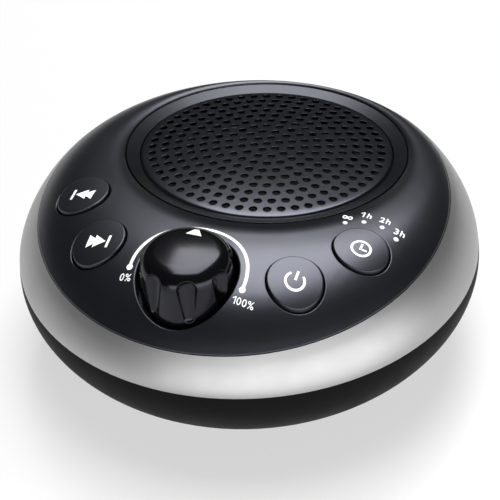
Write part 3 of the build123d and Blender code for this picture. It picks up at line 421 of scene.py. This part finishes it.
# Sums of the tree, in order: the result's name, the operation and its terms. A term is a number,
# an input, an earlier result, or Index, X or Y, which are a point's own.
GRILLE_SUMS = (
    # Ring k holds 6k holes, so a hole's number gives its ring, its angle and its place.
    ("root square", "MULTIPLY_ADD", "Index", 12.0, 9.0),
    ("root", "SQRT", "root square"),
    ("sixfold ring", "SUBTRACT", "root", 3.0),
    ("part ring", "DIVIDE", "sixfold ring", 6.0),
    ("safe ring", "SUBTRACT", "part ring", 0.001),
    ("ring", "CEIL", "safe ring"),
    ("ring inside", "SUBTRACT", "ring", 1.0),
    ("ring pair", "MULTIPLY", "ring", "ring inside"),
    ("holes before", "MULTIPLY", 3.0, "ring pair"),
    ("after them", "SUBTRACT", "Index", "holes before"),
    ("along", "SUBTRACT", "after them", 1.0),
    ("ring or one", "MAXIMUM", "ring", 1.0),
    ("ring holes", "MULTIPLY", 6.0, "ring or one"),
    ("share", "DIVIDE", "along", "ring holes"),
    ("angle", "MULTIPLY_ADD", "share", math.tau, math.tau / 4),
    ("ring step", "DIVIDE", "Ring Radius", "Rings"),
    ("reach", "MULTIPLY", "ring", "ring step"),
    ("cosine", "COSINE", "angle"),
    ("sine", "SINE", "angle"),
    ("hole x", "MULTIPLY", "reach", "cosine"),
    ("hole y", "MULTIPLY", "reach", "sine"),
    ("threefold", "MULTIPLY", "Rings", 3.0),
    ("one more", "ADD", "Rings", 1.0),
    ("hole count", "MULTIPLY_ADD", "threefold", "one more", 1.0),
    # Sizes of the sheet, its holes, its rim and its skirt.
    ("hole mouth", "ADD", "Hole Radius", "Hole Edge"),
    ("hole wall", "SUBTRACT", "Hole Edge", "Thickness"),
    ("flat radius", "SUBTRACT", "Rim Radius", "Rim Round"),
    ("inner radius", "SUBTRACT", "Rim Radius", "Thickness"),
    ("below", "MULTIPLY", "Thickness", -1.0),
    ("skirt outside", "SUBTRACT", "Rim Round", "Skirt"),
    ("skirt inside", "SUBTRACT", "Skirt", "Thickness"),
    # Height of the dome over the flat sheet.
    ("x square", "POWER", "X", 2.0),
    ("y square", "POWER", "Y", 2.0),
    ("square", "ADD", "x square", "y square"),
    ("dome square", "POWER", "Dome Radius", 2.0),
    ("rest square", "SUBTRACT", "dome square", "square"),
    ("dome", "SQRT", "rest square"),
    ("dip", "SUBTRACT", "dome", "Dome Radius"),
    ("lift", "ADD", "dip", "Crown"),
)


@dataclass
class Grille:
    """Pressed steel grille: a shallow dome with a turned-down rim and round punched holes.

    Attributes:
        origin: middle of the ring that it sits in.
        tilt_degrees: how far the ring leans to the rear.
        rim_radius: its outer radius.
        rim_round: outer radius of the turned-down rim's bend.
        rim_steps: straight steps in that bend.
        rim_drop: how far the skirt reaches below the ring's plane.
        dome_radius: radius of the sphere that the dome is cut from.
        crown: height of the dome's middle above the ring's plane.
        thickness: of the sheet.
        rings: rings of holes round the middle one.
        ring_radius: radius of the outermost ring.
        hole_radius: radius of a hole.
        hole_edge: radius of its rounded upper edge.
        edge_steps: straight steps in that edge.
        hole_sides: sides of a hole.
        rim_sides: sides of the rim.
        sharp_degrees: angle between faces past which an edge stays sharp.
    """

    origin: tuple[float, float, float] = (0.0, 16.3, SEAM_HEIGHT + 18.25)
    tilt_degrees: float = 6.8
    rim_radius: float = 33.2
    rim_round: float = 0.8
    rim_steps: int = 6
    rim_drop: float = 2.4
    dome_radius: float = 250.0
    crown: float = 1.6
    thickness: float = 0.6
    rings: int = 9
    ring_radius: float = 30.1
    hole_radius: float = 1.08
    hole_edge: float = 0.04
    edge_steps: int = 2
    hole_sides: int = 20
    rim_sides: int = 144
    sharp_degrees: float = 20.0

    def place(self) -> Matrix:
        """Turn and shift from the grille's own plane onto the leaning ring."""
        turn = Matrix.Rotation(math.radians(-self.tilt_degrees), 4, "X")
        return Matrix.Translation(Vector(self.origin) * MM) @ turn

    def dome(self, radius: float) -> float:
        """Height of the dome at a radius, above the ring's plane."""
        return self.crown - self.dome_radius + math.sqrt(self.dome_radius**2 - radius**2)

    def tree(self) -> Tree:
        """Node tree that punches the flat sheet, turns its rim down and domes it.

        Returns:
            The geometry node tree.
        """
        tree = bpy.data.node_groups.new("punched_grille", "GeometryNodeTree")
        for kind, names in GRILLE_INPUTS.items():
            for name in names:
                tree.interface.new_socket(name, in_out="INPUT", socket_type=f"NodeSocket{kind}")
        tree.interface.new_socket("Geometry", in_out="OUTPUT", socket_type="NodeSocketGeometry")
        given = add(tree, "NodeGroupInput").outputs
        position = add(tree, "GeometryNodeInputPosition").outputs[0]
        spot = add(tree, "ShaderNodeSeparateXYZ", {0: position}).outputs
        known = {socket.name: socket for socket in (*given, *spot)}
        known["Index"] = add(tree, "GeometryNodeInputIndex").outputs[0]
        for result, operation, *terms in GRILLE_SUMS:
            values = {i: known[term] if isinstance(term, str) else term
                      for i, term in enumerate(terms)}
            known[result] = add(tree, "ShaderNodeMath", values, operation=operation).outputs[0]
        level = add(tree, "ShaderNodeVectorMath", {0: position, 1: (1.0, 1.0, 0.0)},
                    operation="MULTIPLY").outputs[0]
        away = add(tree, "ShaderNodeVectorMath", {0: level}, operation="NORMALIZE").outputs[0]

        def quarter(size: Socket, steps: int, way: int) -> list[tuple[Socket, Socket]]:
            """Profile of a quarter round that ends straight down.

            Args:
                size: its radius.
                steps: its number of straight steps.
                way: 1 if it goes outwards, -1 if it goes inwards.

            Returns:
                How far each step goes outward and upward.
            """
            turns = [math.tau / 4 * i / steps for i in range(steps + 1)]
            profile = []
            for low, high in zip(turns, turns[1:]):
                shares = way * (math.sin(high) - math.sin(low)), math.cos(high) - math.cos(low)
                outward, upward = [
                    add(tree, "ShaderNodeMath", {0: size, 1: share},
                        operation="MULTIPLY").outputs[0]
                    for share in shares
                ]
                profile.append((outward, upward))
            return profile

        def lathe(rim: Socket, profile: Iterable[tuple[Socket | float, Socket | float]]) -> Socket:
            """Pulls a circle of edges along a profile.

            Args:
                rim: the circle.
                profile: how far each step goes outward and upward.

            Returns:
                The mesh of the walls.
            """
            wall, edges = rim, True
            for outward, upward in profile:
                sideways = add(tree, "ShaderNodeVectorMath", {0: away, "Scale": outward},
                               operation="SCALE").outputs[0]
                rise = add(tree, "ShaderNodeCombineXYZ", {2: upward}).outputs[0]
                offset = add(tree, "ShaderNodeVectorMath", {0: sideways, 1: rise},
                             operation="ADD").outputs[0]
                pulled = add(tree, "GeometryNodeExtrudeMesh",
                             {"Mesh": wall, "Selection": edges, "Offset": offset,
                              "Offset Scale": 1.0}, mode="EDGES").outputs
                wall, edges = pulled["Mesh"], pulled["Top"]
            return wall

        centre = add(tree, "ShaderNodeCombineXYZ", {0: known["hole x"], 1: known["hole y"]})
        points = add(tree, "GeometryNodePoints",
                     {"Count": known["hole count"], "Position": centre.outputs[0]}).outputs[0]
        mouth = add(tree, "GeometryNodeMeshCircle",
                    {"Vertices": known["Hole Sides"], "Radius": known["hole mouth"]}).outputs[0]
        punched = lathe(mouth, [*quarter(known["Hole Edge"], self.edge_steps, -1),
                                (0.0, known["hole wall"])])
        holes = add(tree, "GeometryNodeInstanceOnPoints", {"Points": points, "Instance": punched})

        def sheet(hole: Socket, outer: Socket, height: Socket | float) -> Socket:
            """A flat face with its holes.

            Args:
                hole: radius of the holes.
                outer: radius of the face.
                height: its height.

            Returns:
                The mesh of the face.
            """
            small, big = [
                add(tree, "GeometryNodeCurvePrimitiveCircle",
                    {"Resolution": known[sides], "Radius": radius}).outputs[0]
                for sides, radius in (("Hole Sides", hole), ("Rim Sides", outer))
            ]
            rims = add(tree, "GeometryNodeInstanceOnPoints", {"Points": points, "Instance": small})
            real = add(tree, "GeometryNodeRealizeInstances", {0: rims.outputs[0]})
            lines = add(tree, "GeometryNodeJoinGeometry", {0: [real.outputs[0], big]})
            filled = add(tree, "GeometryNodeFillCurve", {"Curve": lines.outputs[0]})
            rise = add(tree, "ShaderNodeCombineXYZ", {2: height})
            return add(tree, "GeometryNodeTransform", {"Geometry": filled.outputs[0],
                                                       "Translation": rise.outputs[0]}).outputs[0]

        top = sheet(known["hole mouth"], known["flat radius"], 0.0)
        bottom = sheet(known["Hole Radius"], known["inner radius"], known["below"])
        border = add(tree, "GeometryNodeMeshCircle",
                     {"Vertices": known["Rim Sides"], "Radius": known["flat radius"]}).outputs[0]
        rim = lathe(border, [*quarter(known["Rim Round"], self.rim_steps, 1),
                             (0.0, known["skirt outside"]), (known["below"], 0.0),
                             (0.0, known["skirt inside"])])
        flat = add(tree, "GeometryNodeJoinGeometry", {0: [top, bottom, rim, holes.outputs[0]]})
        whole = add(tree, "GeometryNodeRealizeInstances", {0: flat.outputs[0]})
        welded = add(tree, "GeometryNodeMergeByDistance",
                     {"Geometry": whole.outputs[0], "Distance": SHEET_WELD})
        rise = add(tree, "ShaderNodeCombineXYZ", {2: known["lift"]})
        domed = add(tree, "GeometryNodeSetPosition",
                    {"Geometry": welded.outputs[0], "Offset": rise.outputs[0]})
        smooth = add(tree, "GeometryNodeSetShadeSmooth", {0: domed.outputs[0]})
        real = add(tree, "GeometryNodeRealizeInstances", {0: smooth.outputs[0]})
        done = add(tree, "GeometryNodeSetMaterial",
                   {0: real.outputs[0], "Material": known["Finish"]})
        add(tree, "NodeGroupOutput", {0: done.outputs[0]})
        return tree

    def build(self) -> bpy.types.Object:
        """Makes the grille as one mesh and puts it in place of its CAD node.

        Returns:
            The grille.
        """
        tree = self.tree()
        maker = bpy.data.objects.new("grille_maker", bpy.data.meshes.new("grille_maker"))
        bpy.context.scene.collection.objects.link(maker)
        modifier = maker.modifiers.new("punched_grille", "NODES")
        modifier.node_group = tree
        skirt = (self.rim_drop + self.dome(self.rim_radius)) * MM
        values = {
            "Rings": self.rings, "Hole Sides": self.hole_sides, "Rim Sides": self.rim_sides,
            "Ring Radius": self.ring_radius * MM, "Hole Radius": self.hole_radius * MM,
            "Hole Edge": self.hole_edge * MM, "Thickness": self.thickness * MM,
            "Rim Radius": self.rim_radius * MM, "Rim Round": self.rim_round * MM, "Skirt": skirt,
            "Dome Radius": self.dome_radius * MM, "Crown": self.crown * MM,
            "Finish": POWDER_COAT.build(),
        }
        for socket in tree.interface.items_tree:
            if socket.in_out == "INPUT" and socket.name in values:
                modifier[socket.identifier] = values[socket.name]
        mesh = baked_mesh(maker, "grille")
        mesh.transform(self.place())
        grille = new_piece("punched_grille", mesh, math.radians(self.sharp_degrees))
        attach(grille, "case")
        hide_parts("grille_plate")
        return grille


def baked_mesh(maker: bpy.types.Object, name: str) -> bpy.types.Mesh:
    """Turns a node-made object into a plain mesh and removes the object.

    Args:
        maker: object with its live modifier.
        name: name of the mesh.

    Returns:
        The evaluated mesh, with outward normals.
    """
    graph = bpy.context.evaluated_depsgraph_get()
    graph.update()
    mesh = bpy.data.meshes.new_from_object(maker.evaluated_get(graph), depsgraph=graph)
    mesh.name = name
    maker.modifiers.clear()
    bpy.data.objects.remove(maker)
    shape = bmesh.new()
    shape.from_mesh(mesh)
    bmesh.ops.remove_doubles(shape, verts=shape.verts, dist=MESH_WELD)
    bmesh.ops.recalc_face_normals(shape, faces=shape.faces)
    shape.to_mesh(mesh)
    shape.free()
    return mesh


def new_piece(name: str, mesh: bpy.types.Mesh, sharp: float) -> bpy.types.Object:
    """Links a mesh as a piece at the origin, smooth but for its sharp edges.

    Args:
        name: the piece's name.
        mesh: its mesh, already in place.
        sharp: angle between faces past which an edge stays sharp.

    Returns:
        The new object.
    """
    piece = bpy.data.objects.new(name, mesh)
    bpy.context.scene.collection.objects.link(piece)
    mesh.shade_smooth()
    mesh.set_sharp_from_angle(angle=sharp)
    return piece


# ------------------------------------------------------------------ printed marks
# Height of a capital in the plain face as a share of its size, and its letter spacing.
CAPITAL_SHARE, LETTER_SPACE = 0.72, 1.12
# Straight steps in each curve of a letter, and sides of a round dot.
LETTER_STEPS, DOT_SIDES = 4, 20
# Angle that one step of an arc spans, and the least number of steps that it has.
ARC_STEP_DEGREES, ARC_LEAST_STEPS = 4, 6
# The drawn figure one, in shares of the height of the lettering: how far each further letter
# moves it to the left, how far its stem lies to the left as well, the width of the stem, how far
# the further letters move to the right, and the ends of its flag from the middle of the stem.
ONE_SPACE, ONE_STEM, ONE_WIDTH, ONE_SHIFT = 0.36, 0.14, 0.13, 0.22
ONE_FLAG = ((-0.38, 0.2), (-0.05, 0.44))
# Width of the flag as a share of the stem's.
ONE_FLAG_WIDTH = 0.8
# An edge of a mark that is longer is cut, so that the mark follows the surface under it.
LONG_EDGE_MM, EDGE_CUTS = 1.2, 2
# Height in metres, above all of the machine, from which marks are dropped on it.
DROP_HEIGHT = 0.1
INK_SHARP_DEGREES = 40.0


def circle(centre: Point, radius: float, sides: int) -> Outline:
    """Points round a circle.

    Args:
        centre: its centre.
        radius: its radius.
        sides: their number.

    Returns:
        The points, from +X towards +Y.
    """
    turns = [math.tau * i / sides for i in range(sides)]
    return [(centre[0] + radius * math.cos(t), centre[1] + radius * math.sin(t)) for t in turns]


@dataclass
class Print:
    """Flat marks that are laid on one surface of the machine as thin ink.

    Attributes:
        name: the piece's name.
        body: the body that it moves with.
        node: CAD node whose top it lies on.
        slot: material slot of that node; not used.
        ink: its finish.
        lift_mm: top of the ink above the surface. It reaches as far below it.
        shape: the marks drawn so far, flat and in metres.
    """

    name: str
    body: str
    node: str
    slot: str
    ink: Finish = WHITE_INK
    lift_mm: float = 0.03
    shape: bmesh.types.BMesh = field(default_factory=bmesh.new)

    def polygon(self, outline: Outline) -> None:
        """Adds one filled outline, its points in millimetres."""
        corners = [self.shape.verts.new((x * MM, y * MM, 0.0)) for x, y in outline]
        self.shape.faces.new(corners)

    def disc(self, centre: Point, radius: float) -> None:
        """Adds a round dot."""
        self.polygon(circle(centre, radius, DOT_SIDES))

    def stroke(self, line: Outline, width: float, closed: bool = False) -> None:
        """Adds a line of one width.

        Args:
            line: points along its middle.
            width: its width.
            closed: True if the last point joins the first.
        """
        left, right = [], []
        for i, (x, y) in enumerate(line):
            back = line[i - 1] if i or closed else line[i]
            ahead = line[(i + 1) % len(line)] if i + 1 < len(line) or closed else line[i]
            dx, dy = ahead[0] - back[0], ahead[1] - back[1]
            length = math.hypot(dx, dy)
            nx, ny = -dy / length * width / 2, dx / length * width / 2
            left.append(self.shape.verts.new(((x + nx) * MM, (y + ny) * MM, 0.0)))
            right.append(self.shape.verts.new(((x - nx) * MM, (y - ny) * MM, 0.0)))
        count = len(line) if closed else len(line) - 1
        for i in range(count):
            j = (i + 1) % len(line)
            self.shape.faces.new((right[i], right[j], left[j], left[i]))

    def arc(self, centre: Point, radius: float, width: float, start: float, end: float) -> None:
        """Adds an arc.

        Args:
            centre: its centre.
            radius: radius of the middle of its line.
            width: width of its line.
            start: angle in degrees where it starts, counted from +X towards +Y.
            end: angle where it ends.
        """
        steps = max(ARC_LEAST_STEPS, int(abs(end - start) / ARC_STEP_DEGREES))
        turns = [math.radians(start + (end - start) * i / steps) for i in range(steps + 1)]
        line = [(centre[0] + radius * math.cos(t), centre[1] + radius * math.sin(t)) for t in turns]
        self.stroke(line, width)

    def words(self, words: str, centre: Point, height: float, weight: float) -> None:
        """Adds lettering whose figure one, if it starts with one, has a flag.

        Args:
            words: what it says.
            centre: its middle.
            height: height of its capitals and figures.
            weight: how much its strokes are swollen on each side.
        """
        x, y = centre
        if words[0] == "1":
            half = ONE_SPACE * height * (len(words) - 1)
            left = x - half - ONE_STEM * height
            ink = ONE_WIDTH * height + 2 * weight
            self.stroke([(left, y - height / 2), (left, y + height / 2)], ink)
            self.stroke([(left + a * height, y + b * height) for a, b in ONE_FLAG],
                        ONE_FLAG_WIDTH * ink)
            x, words = x + ONE_SHIFT * height, words[1:]
        self.text(words, (x, y), height, weight)

    def text(self, words: str, centre: Point, height: float, weight: float) -> None:
        """Adds lettering in the plain face, centred on a point.

        Args:
            words: what it says.
            centre: its middle.
            height: height of its capitals and figures.
            weight: how much its strokes are swollen on each side.
        """
        curve = bpy.data.curves.new(f"{self.name}_text", "FONT")
        curve.body = words
        curve.size = height / CAPITAL_SHARE * MM
        curve.align_x, curve.align_y = "CENTER", "CENTER"
        curve.offset = weight * MM
        curve.space_character = LETTER_SPACE
        curve.resolution_u = LETTER_STEPS
        writer = bpy.data.objects.new(f"{self.name}_text", curve)
        bpy.context.scene.collection.objects.link(writer)
        graph = bpy.context.evaluated_depsgraph_get()
        mesh = bpy.data.meshes.new_from_object(writer.evaluated_get(graph))
        low = Vector(min(v.co[i] for v in mesh.vertices) for i in range(3))
        high = Vector(max(v.co[i] for v in mesh.vertices) for i in range(3))
        shift = Vector((centre[0] * MM, centre[1] * MM, 0.0)) - (low + high) / 2
        mesh.transform(Matrix.Translation(shift))
        self.shape.from_mesh(mesh)
        bpy.data.objects.remove(writer)
        bpy.data.meshes.remove(mesh)

    def build(self) -> bpy.types.Object:
        """Lays the marks on their surface and gives them thickness.

        Returns:
            The piece.
        """
        shape = self.shape
        bmesh.ops.remove_doubles(shape, verts=shape.verts, dist=PRINT_WELD)
        bmesh.ops.triangulate(shape, faces=shape.faces)
        long_edges = [e for e in shape.edges if e.calc_length() > LONG_EDGE_MM * MM]
        bmesh.ops.subdivide_edges(shape, edges=long_edges, cuts=EDGE_CUTS)
        bmesh.ops.triangulate(shape, faces=shape.faces)
        graph = bpy.context.evaluated_depsgraph_get()
        ground = BVHTree.FromObject(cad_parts[self.node], graph)
        for corner in shape.verts:
            above = Vector((corner.co.x, corner.co.y, DROP_HEIGHT))
            corner.co.z = ground.ray_cast(above, Vector((0, 0, -1)))[0].z + self.lift_mm * MM
        made = bmesh.ops.extrude_face_region(shape, geom=list(shape.faces))
        sunk = [v for v in made["geom"] if isinstance(v, bmesh.types.BMVert)]
        bmesh.ops.translate(shape, verts=sunk, vec=(0, 0, -2 * self.lift_mm * MM))
        bmesh.ops.recalc_face_normals(shape, faces=shape.faces)
        mesh = bpy.data.meshes.new(self.name)
        shape.to_mesh(mesh)
        shape.free()
        piece = new_piece(self.name, mesh, math.radians(INK_SHARP_DEGREES))
        dress(piece, self.ink)
        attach(piece, self.body)
        return piece


@dataclass
class Marks:
    """Every printed mark: volume scale, pointer, timer hours and the four key symbols.

    Attributes:
        knob_at: axis of the knob.
        arc_radius: radius of the volume arc.
        arc_width: width of its line.
        arc_dot: radius of its end dots.
        arc_overrun: degrees that it goes on past the half turn, at each end.
        low_at: middle of the words at its lower end.
        high_at: middle of the words at its upper end.
        scale_height: height of those words.
        scale_weight: swelling of their strokes.
        hours: the timer's words and their places.
        hour_height: height of those words.
        hour_weight: swelling of their strokes.
        endless_at: middle of the endless sign.
        endless_half: half its width.
        endless_rise: how much taller its loops are than a plain one's.
        endless_points: points along it.
        endless_stroke: width of its line.
        pointer: half width, near end and tip of the pointer, from the knob's axis.
        key_at: middles of the keys.
        symbol_shift: middle of a symbol from the middle of its key.
        symbol_radius: outer radius of the power and timer symbols.
        symbol_stroke: width of their line.
        clock_sides: sides of the clock face.
        power_gap: half the gap in the power symbol's ring, in degrees.
        power_bar: top and foot of its bar.
        clock_hands: the timer symbol's two hands, each with the width of its line.
        skip_at: ends of the first triangle, tip of the second and the bar, from the middle.
        skip_half: half the height of the skip symbols.
        skip_stroke: width of their bar.
    """

    knob_at: Point = (0.0, -39.8)
    arc_radius: float = 14.55
    arc_width: float = 0.82
    arc_dot: float = 0.8
    arc_overrun: float = 5.0
    low_at: Point = (-14.6, -43.7)
    high_at: Point = (15.8, -43.8)
    scale_height: float = 1.75
    scale_weight: float = 0.01
    hours: tuple[tuple[str, Point], ...] = (
        ("1h", (34.7, -6.0)), ("2h", (39.2, -6.1)), ("3h", (43.6, -8.5)))
    hour_height: float = 2.0
    hour_weight: float = 0.045
    endless_at: Point = (30.3, -8.7)
    endless_half: float = 1.1
    endless_rise: float = 1.4
    endless_points: int = 40
    endless_stroke: float = 0.36
    pointer: tuple[float, float, float] = (2.0, 5.45, 8.7)
    key_at: dict[str, Point] = field(default_factory=lambda: {
        "power": (25.5, -34.6), "timer": (36.9, -18.7), "next": (-25.5, -34.6),
        "previous": (-36.9, -18.7)})
    symbol_shift: Point = (0.15, -0.45)
    symbol_radius: float = 2.58
    symbol_stroke: float = 0.6
    clock_sides: int = 48
    power_gap: float = 40.0
    power_bar: Point = (2.75, 0.25)
    clock_hands: tuple[tuple[Outline, float], ...] = (
        ([(-0.1, 1.5), (-0.1, -0.3)], 0.55), ([(-0.375, -0.3), (1.5, -0.3)], 0.5))
    skip_at: tuple[float, ...] = (-2.95, -1.15, 1.95, 2.65)
    skip_half: float = 1.75
    skip_stroke: float = 0.65

    def scale(self) -> bpy.types.Object:
        """Makes the volume arc with its end dots and its two figures.

        Returns:
            The piece of ink.
        """
        x, y = self.knob_at
        ink = Print("volume_scale_print", "case", "top_panel", "panel_black")
        ends = (-self.arc_overrun, 180 + self.arc_overrun)
        ink.arc(self.knob_at, self.arc_radius, self.arc_width, *ends)
        for turn in map(math.radians, ends):
            end = (x + self.arc_radius * math.cos(turn), y + self.arc_radius * math.sin(turn))
            ink.disc(end, self.arc_dot)
        for words, place in (("0%", self.low_at), ("100%", self.high_at)):
            ink.words(words, place, self.scale_height, self.scale_weight)
        return ink.build()

    def timer_hours(self) -> bpy.types.Object:
        """Makes the hours and the endless sign beside the timer lights.

        Returns:
            The piece of ink.
        """
        ink = Print("timer_hours_print", "case", "top_panel", "panel_black")
        for words, place in self.hours:
            ink.words(words, place, self.hour_height, self.hour_weight)
        x, y = self.endless_at
        loop = []
        for i in range(self.endless_points):
            turn = math.tau * i / self.endless_points
            wide = self.endless_half / (1 + math.sin(turn) ** 2)
            rise = self.endless_rise * wide * math.sin(turn) * math.cos(turn)
            loop.append((x + wide * math.cos(turn), y + rise))
        # The line crosses itself, so its two halves are drawn one after the other.
        half = len(loop) // 2
        ink.stroke(loop[half // 2:half // 2 + half + 1], self.endless_stroke)
        ink.stroke(loop[half // 2 + half:] + loop[:half // 2 + 1], self.endless_stroke)
        return ink.build()

    def knob_pointer(self) -> bpy.types.Object:
        """Makes the triangle near the knob's rear edge.

        Returns:
            The piece of ink.
        """
        x, y = self.knob_at
        half, near, tip = self.pointer
        ink = Print("knob_pointer_print", "knob", "volume_knob", "knob_black")
        ink.polygon([(x - half, y + near), (x + half, y + near), (x, y + tip)])
        return ink.build()

    def key_ink(self, key: str) -> tuple[Print, float, float]:
        """Empty ink for one key, and the middle of its symbol."""
        x, y = (a + b for a, b in zip(self.key_at[key], self.symbol_shift))
        return Print(f"{key}_symbol_print", f"{key}_key", f"{key}_button", "button_black"), x, y

    def power(self) -> bpy.types.Object:
        """Makes the power key's open ring with a bar.

        Returns:
            The piece of ink.
        """
        ink, x, y = self.key_ink("power")
        ring = self.symbol_radius - self.symbol_stroke / 2
        ink.arc((x, y), ring, self.symbol_stroke, 90 + self.power_gap, 450 - self.power_gap)
        ink.stroke([(x, y + end) for end in self.power_bar], self.symbol_stroke)
        return ink.build()

    def timer(self) -> bpy.types.Object:
        """Makes the timer key's clock face, with its hands at three o'clock.

        Returns:
            The piece of ink.
        """
        ink, x, y = self.key_ink("timer")
        ring = self.symbol_radius - self.symbol_stroke / 2
        ink.stroke(circle((x, y), ring, self.clock_sides), self.symbol_stroke, closed=True)
        for hand, width in self.clock_hands:
            ink.stroke([(x + a, y + b) for a, b in hand], width)
        return ink.build()

    def skip(self, key: str, way: int) -> bpy.types.Object:
        """Makes two triangles and a bar.

        Args:
            key: the key that they are on.
            way: 1 if they point right, -1 if they point left.

        Returns:
            The piece of ink.
        """
        ink, x, y = self.key_ink(key)
        first, second, tip, bar = (x + way * v for v in self.skip_at)
        tall = self.skip_half
        cut = tall * (tip - second + first - second) / (tip - second)
        ink.polygon([(first, y - tall), (second, y - cut), (second, y + cut), (first, y + tall)])
        ink.polygon([(second, y - tall), (tip, y), (second, y + tall)])
        ink.stroke([(bar, y - tall), (bar, y + tall)], self.skip_stroke)
        return ink.build()

    def build(self) -> list[bpy.types.Object]:
        """Makes all marks.

        Returns:
            The pieces of ink.
        """
        return [self.scale(), self.timer_hours(), self.knob_pointer(), self.power(), self.timer(),
                self.skip("next", 1), self.skip("previous", -1)]


# ------------------------------------------------------------------ studio
@dataclass
class Softbox:
    """A rectangular studio light.

    Attributes:
        name: where it stands.
        at: its middle in millimetres.
        towards: the point that it faces.
        size: width and height.
        watts: its power.
    """

    name: str
    at: tuple[float, float, float]
    towards: tuple[float, float, float]
    size: tuple[float, float]
    watts: float

    def build(self) -> None:
        """Makes the light, which the camera doesn't see."""
        lamp = bpy.data.lights.new(self.name, "AREA")
        lamp.shape = "RECTANGLE"
        lamp.size, lamp.size_y = self.size[0] * MM, self.size[1] * MM
        lamp.energy = self.watts
        light = bpy.data.objects.new(self.name, lamp)
        bpy.context.scene.collection.objects.link(light)
        light.location = Vector(self.at) * MM
        aim = (Vector(self.towards) - Vector(self.at)).to_track_quat("-Z", "Y")
        light.rotation_euler = aim.to_euler()
        light.visible_camera = False


@dataclass
class Studio:
    """Pale floor, soft lights and the camera.

    Attributes:
        azimuth: degrees that the camera stands round to the right of the machine's front.
        elevation: degrees that it looks down.
        roll: degrees that it is turned about its own axis.
        distance: how far ahead of it the middle of the seam lies.
        shift_right: how far that middle lies to the right of its axis.
        shift_down: how far it lies below its axis.
        lens: focal length for the sensor's width.
        sensor: width of the sensor.
        sight_m: nearest and farthest distance that it sees, in metres.
        floor_half_m: half the side of the floor, in metres.
        floor_drop: gap under the feet, which keeps their faces apart.
        sky_rise: upward part of a direction where the light from all round starts to rise, and
            where it ends.
        sky_light: strength of that light below and above.
        softboxes: the lights.
    """

    azimuth: float = 22.232
    elevation: float = 38.983
    roll: float = 3.222
    distance: float = 466.779
    shift_right: float = -0.397
    shift_down: float = -2.579
    lens: float = 128.0
    sensor: float = 36.0
    sight_m: tuple[float, float] = (0.01, 20.0)
    floor_half_m: float = 6.0
    floor_drop: float = 0.1
    sky_rise: tuple[float, float] = (0.1, 0.7)
    sky_light: tuple[float, float] = (0.02, 0.08)
    softboxes: tuple[Softbox, ...] = (
        Softbox("overhead_softbox", (-40, 280, 768), (0, 0, 40), (500, 790), 8.6),
        Softbox("front_right_strip", (430, -550, 150), (0, 0, 30), (2000, 260), 6.2),
    )

    def camera(self) -> None:
        """Places the scene's camera."""
        a, e, roll = (math.radians(v) for v in (self.azimuth, self.elevation, self.roll))
        ahead = Vector((0, math.cos(e), -math.sin(e)))
        right, down = Vector((1, 0, 0)), Vector((0, -math.sin(e), -math.cos(e)))
        turned_right = right * math.cos(roll) + down * math.sin(roll)
        turned_down = down * math.cos(roll) - right * math.sin(roll)
        aside = turned_right * self.shift_right + turned_down * self.shift_down
        eye = -aside - ahead * self.distance
        about = Matrix.Rotation(a, 3, "Z")
        data = bpy.data.cameras.new("main_view")
        data.lens, data.sensor_width = self.lens, self.sensor
        data.clip_start, data.clip_end = self.sight_m
        camera = bpy.data.objects.new("main_view", data)
        bpy.context.scene.collection.objects.link(camera)
        axes = Matrix((about @ turned_right, about @ -turned_down, about @ -ahead)).transposed()
        place = about @ eye + Vector((0, 0, SEAM_HEIGHT))
        camera.matrix_world = Matrix.Translation(place * MM) @ axes.to_4x4()
        bpy.context.scene.camera = camera

    def floor(self) -> None:
        """Lays the pale floor under the machine."""
        shape = bmesh.new()
        bmesh.ops.create_grid(shape, x_segments=1, y_segments=1, size=self.floor_half_m)
        bmesh.ops.translate(shape, verts=shape.verts, vec=(0, 0, -self.floor_drop * MM))
        mesh = bpy.data.meshes.new("floor")
        shape.to_mesh(mesh)
        shape.free()
        floor = bpy.data.objects.new("floor", mesh)
        bpy.context.scene.collection.objects.link(floor)
        dress(floor, PALE_LAMINATE)

    def world(self) -> None:
        """Soft light from all round, brighter overhead than at the sides."""
        world = bpy.data.worlds.new("studio")
        world.use_nodes = True
        bpy.context.scene.world = world
        tree = world.node_tree
        where = add(tree, "ShaderNodeTexCoord").outputs["Generated"]
        up = add(tree, "ShaderNodeSeparateXYZ", {0: where}).outputs[2]
        light = add(tree, "ShaderNodeMapRange",
                    {"Value": up, "From Min": self.sky_rise[0], "From Max": self.sky_rise[1],
                     "To Min": self.sky_light[0], "To Max": self.sky_light[1]}).outputs[0]
        back = tree.nodes["Background"]
        back.inputs["Color"].default_value = linear("#ffffff")
        tree.links.new(light, back.inputs["Strength"])

    def build(self) -> None:
        """Sets up the studio."""
        self.camera()
        self.floor()
        self.world()
        for softbox in self.softboxes:
            softbox.build()
        view = bpy.context.scene.view_settings
        view.view_transform = "Standard"
        view.look = "None"


# ------------------------------------------------------------------ assembly
def main() -> None:
    """Builds the studio, dresses the CAD nodes and adds the pieces."""
    logging.basicConfig(level=logging.INFO, format="%(name)s: %(message)s")
    Studio().build()
    for node, finish in NODE_FINISHES.items():
        dress(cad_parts[node], finish)
        log.info("%s is %s", node, finish.name)
    for piece in [Grille().build(), *Marks().build()]:
        log.info("%s has %d faces", piece.name, len(piece.data.polygons))


if __name__ == "__main__":
    main()
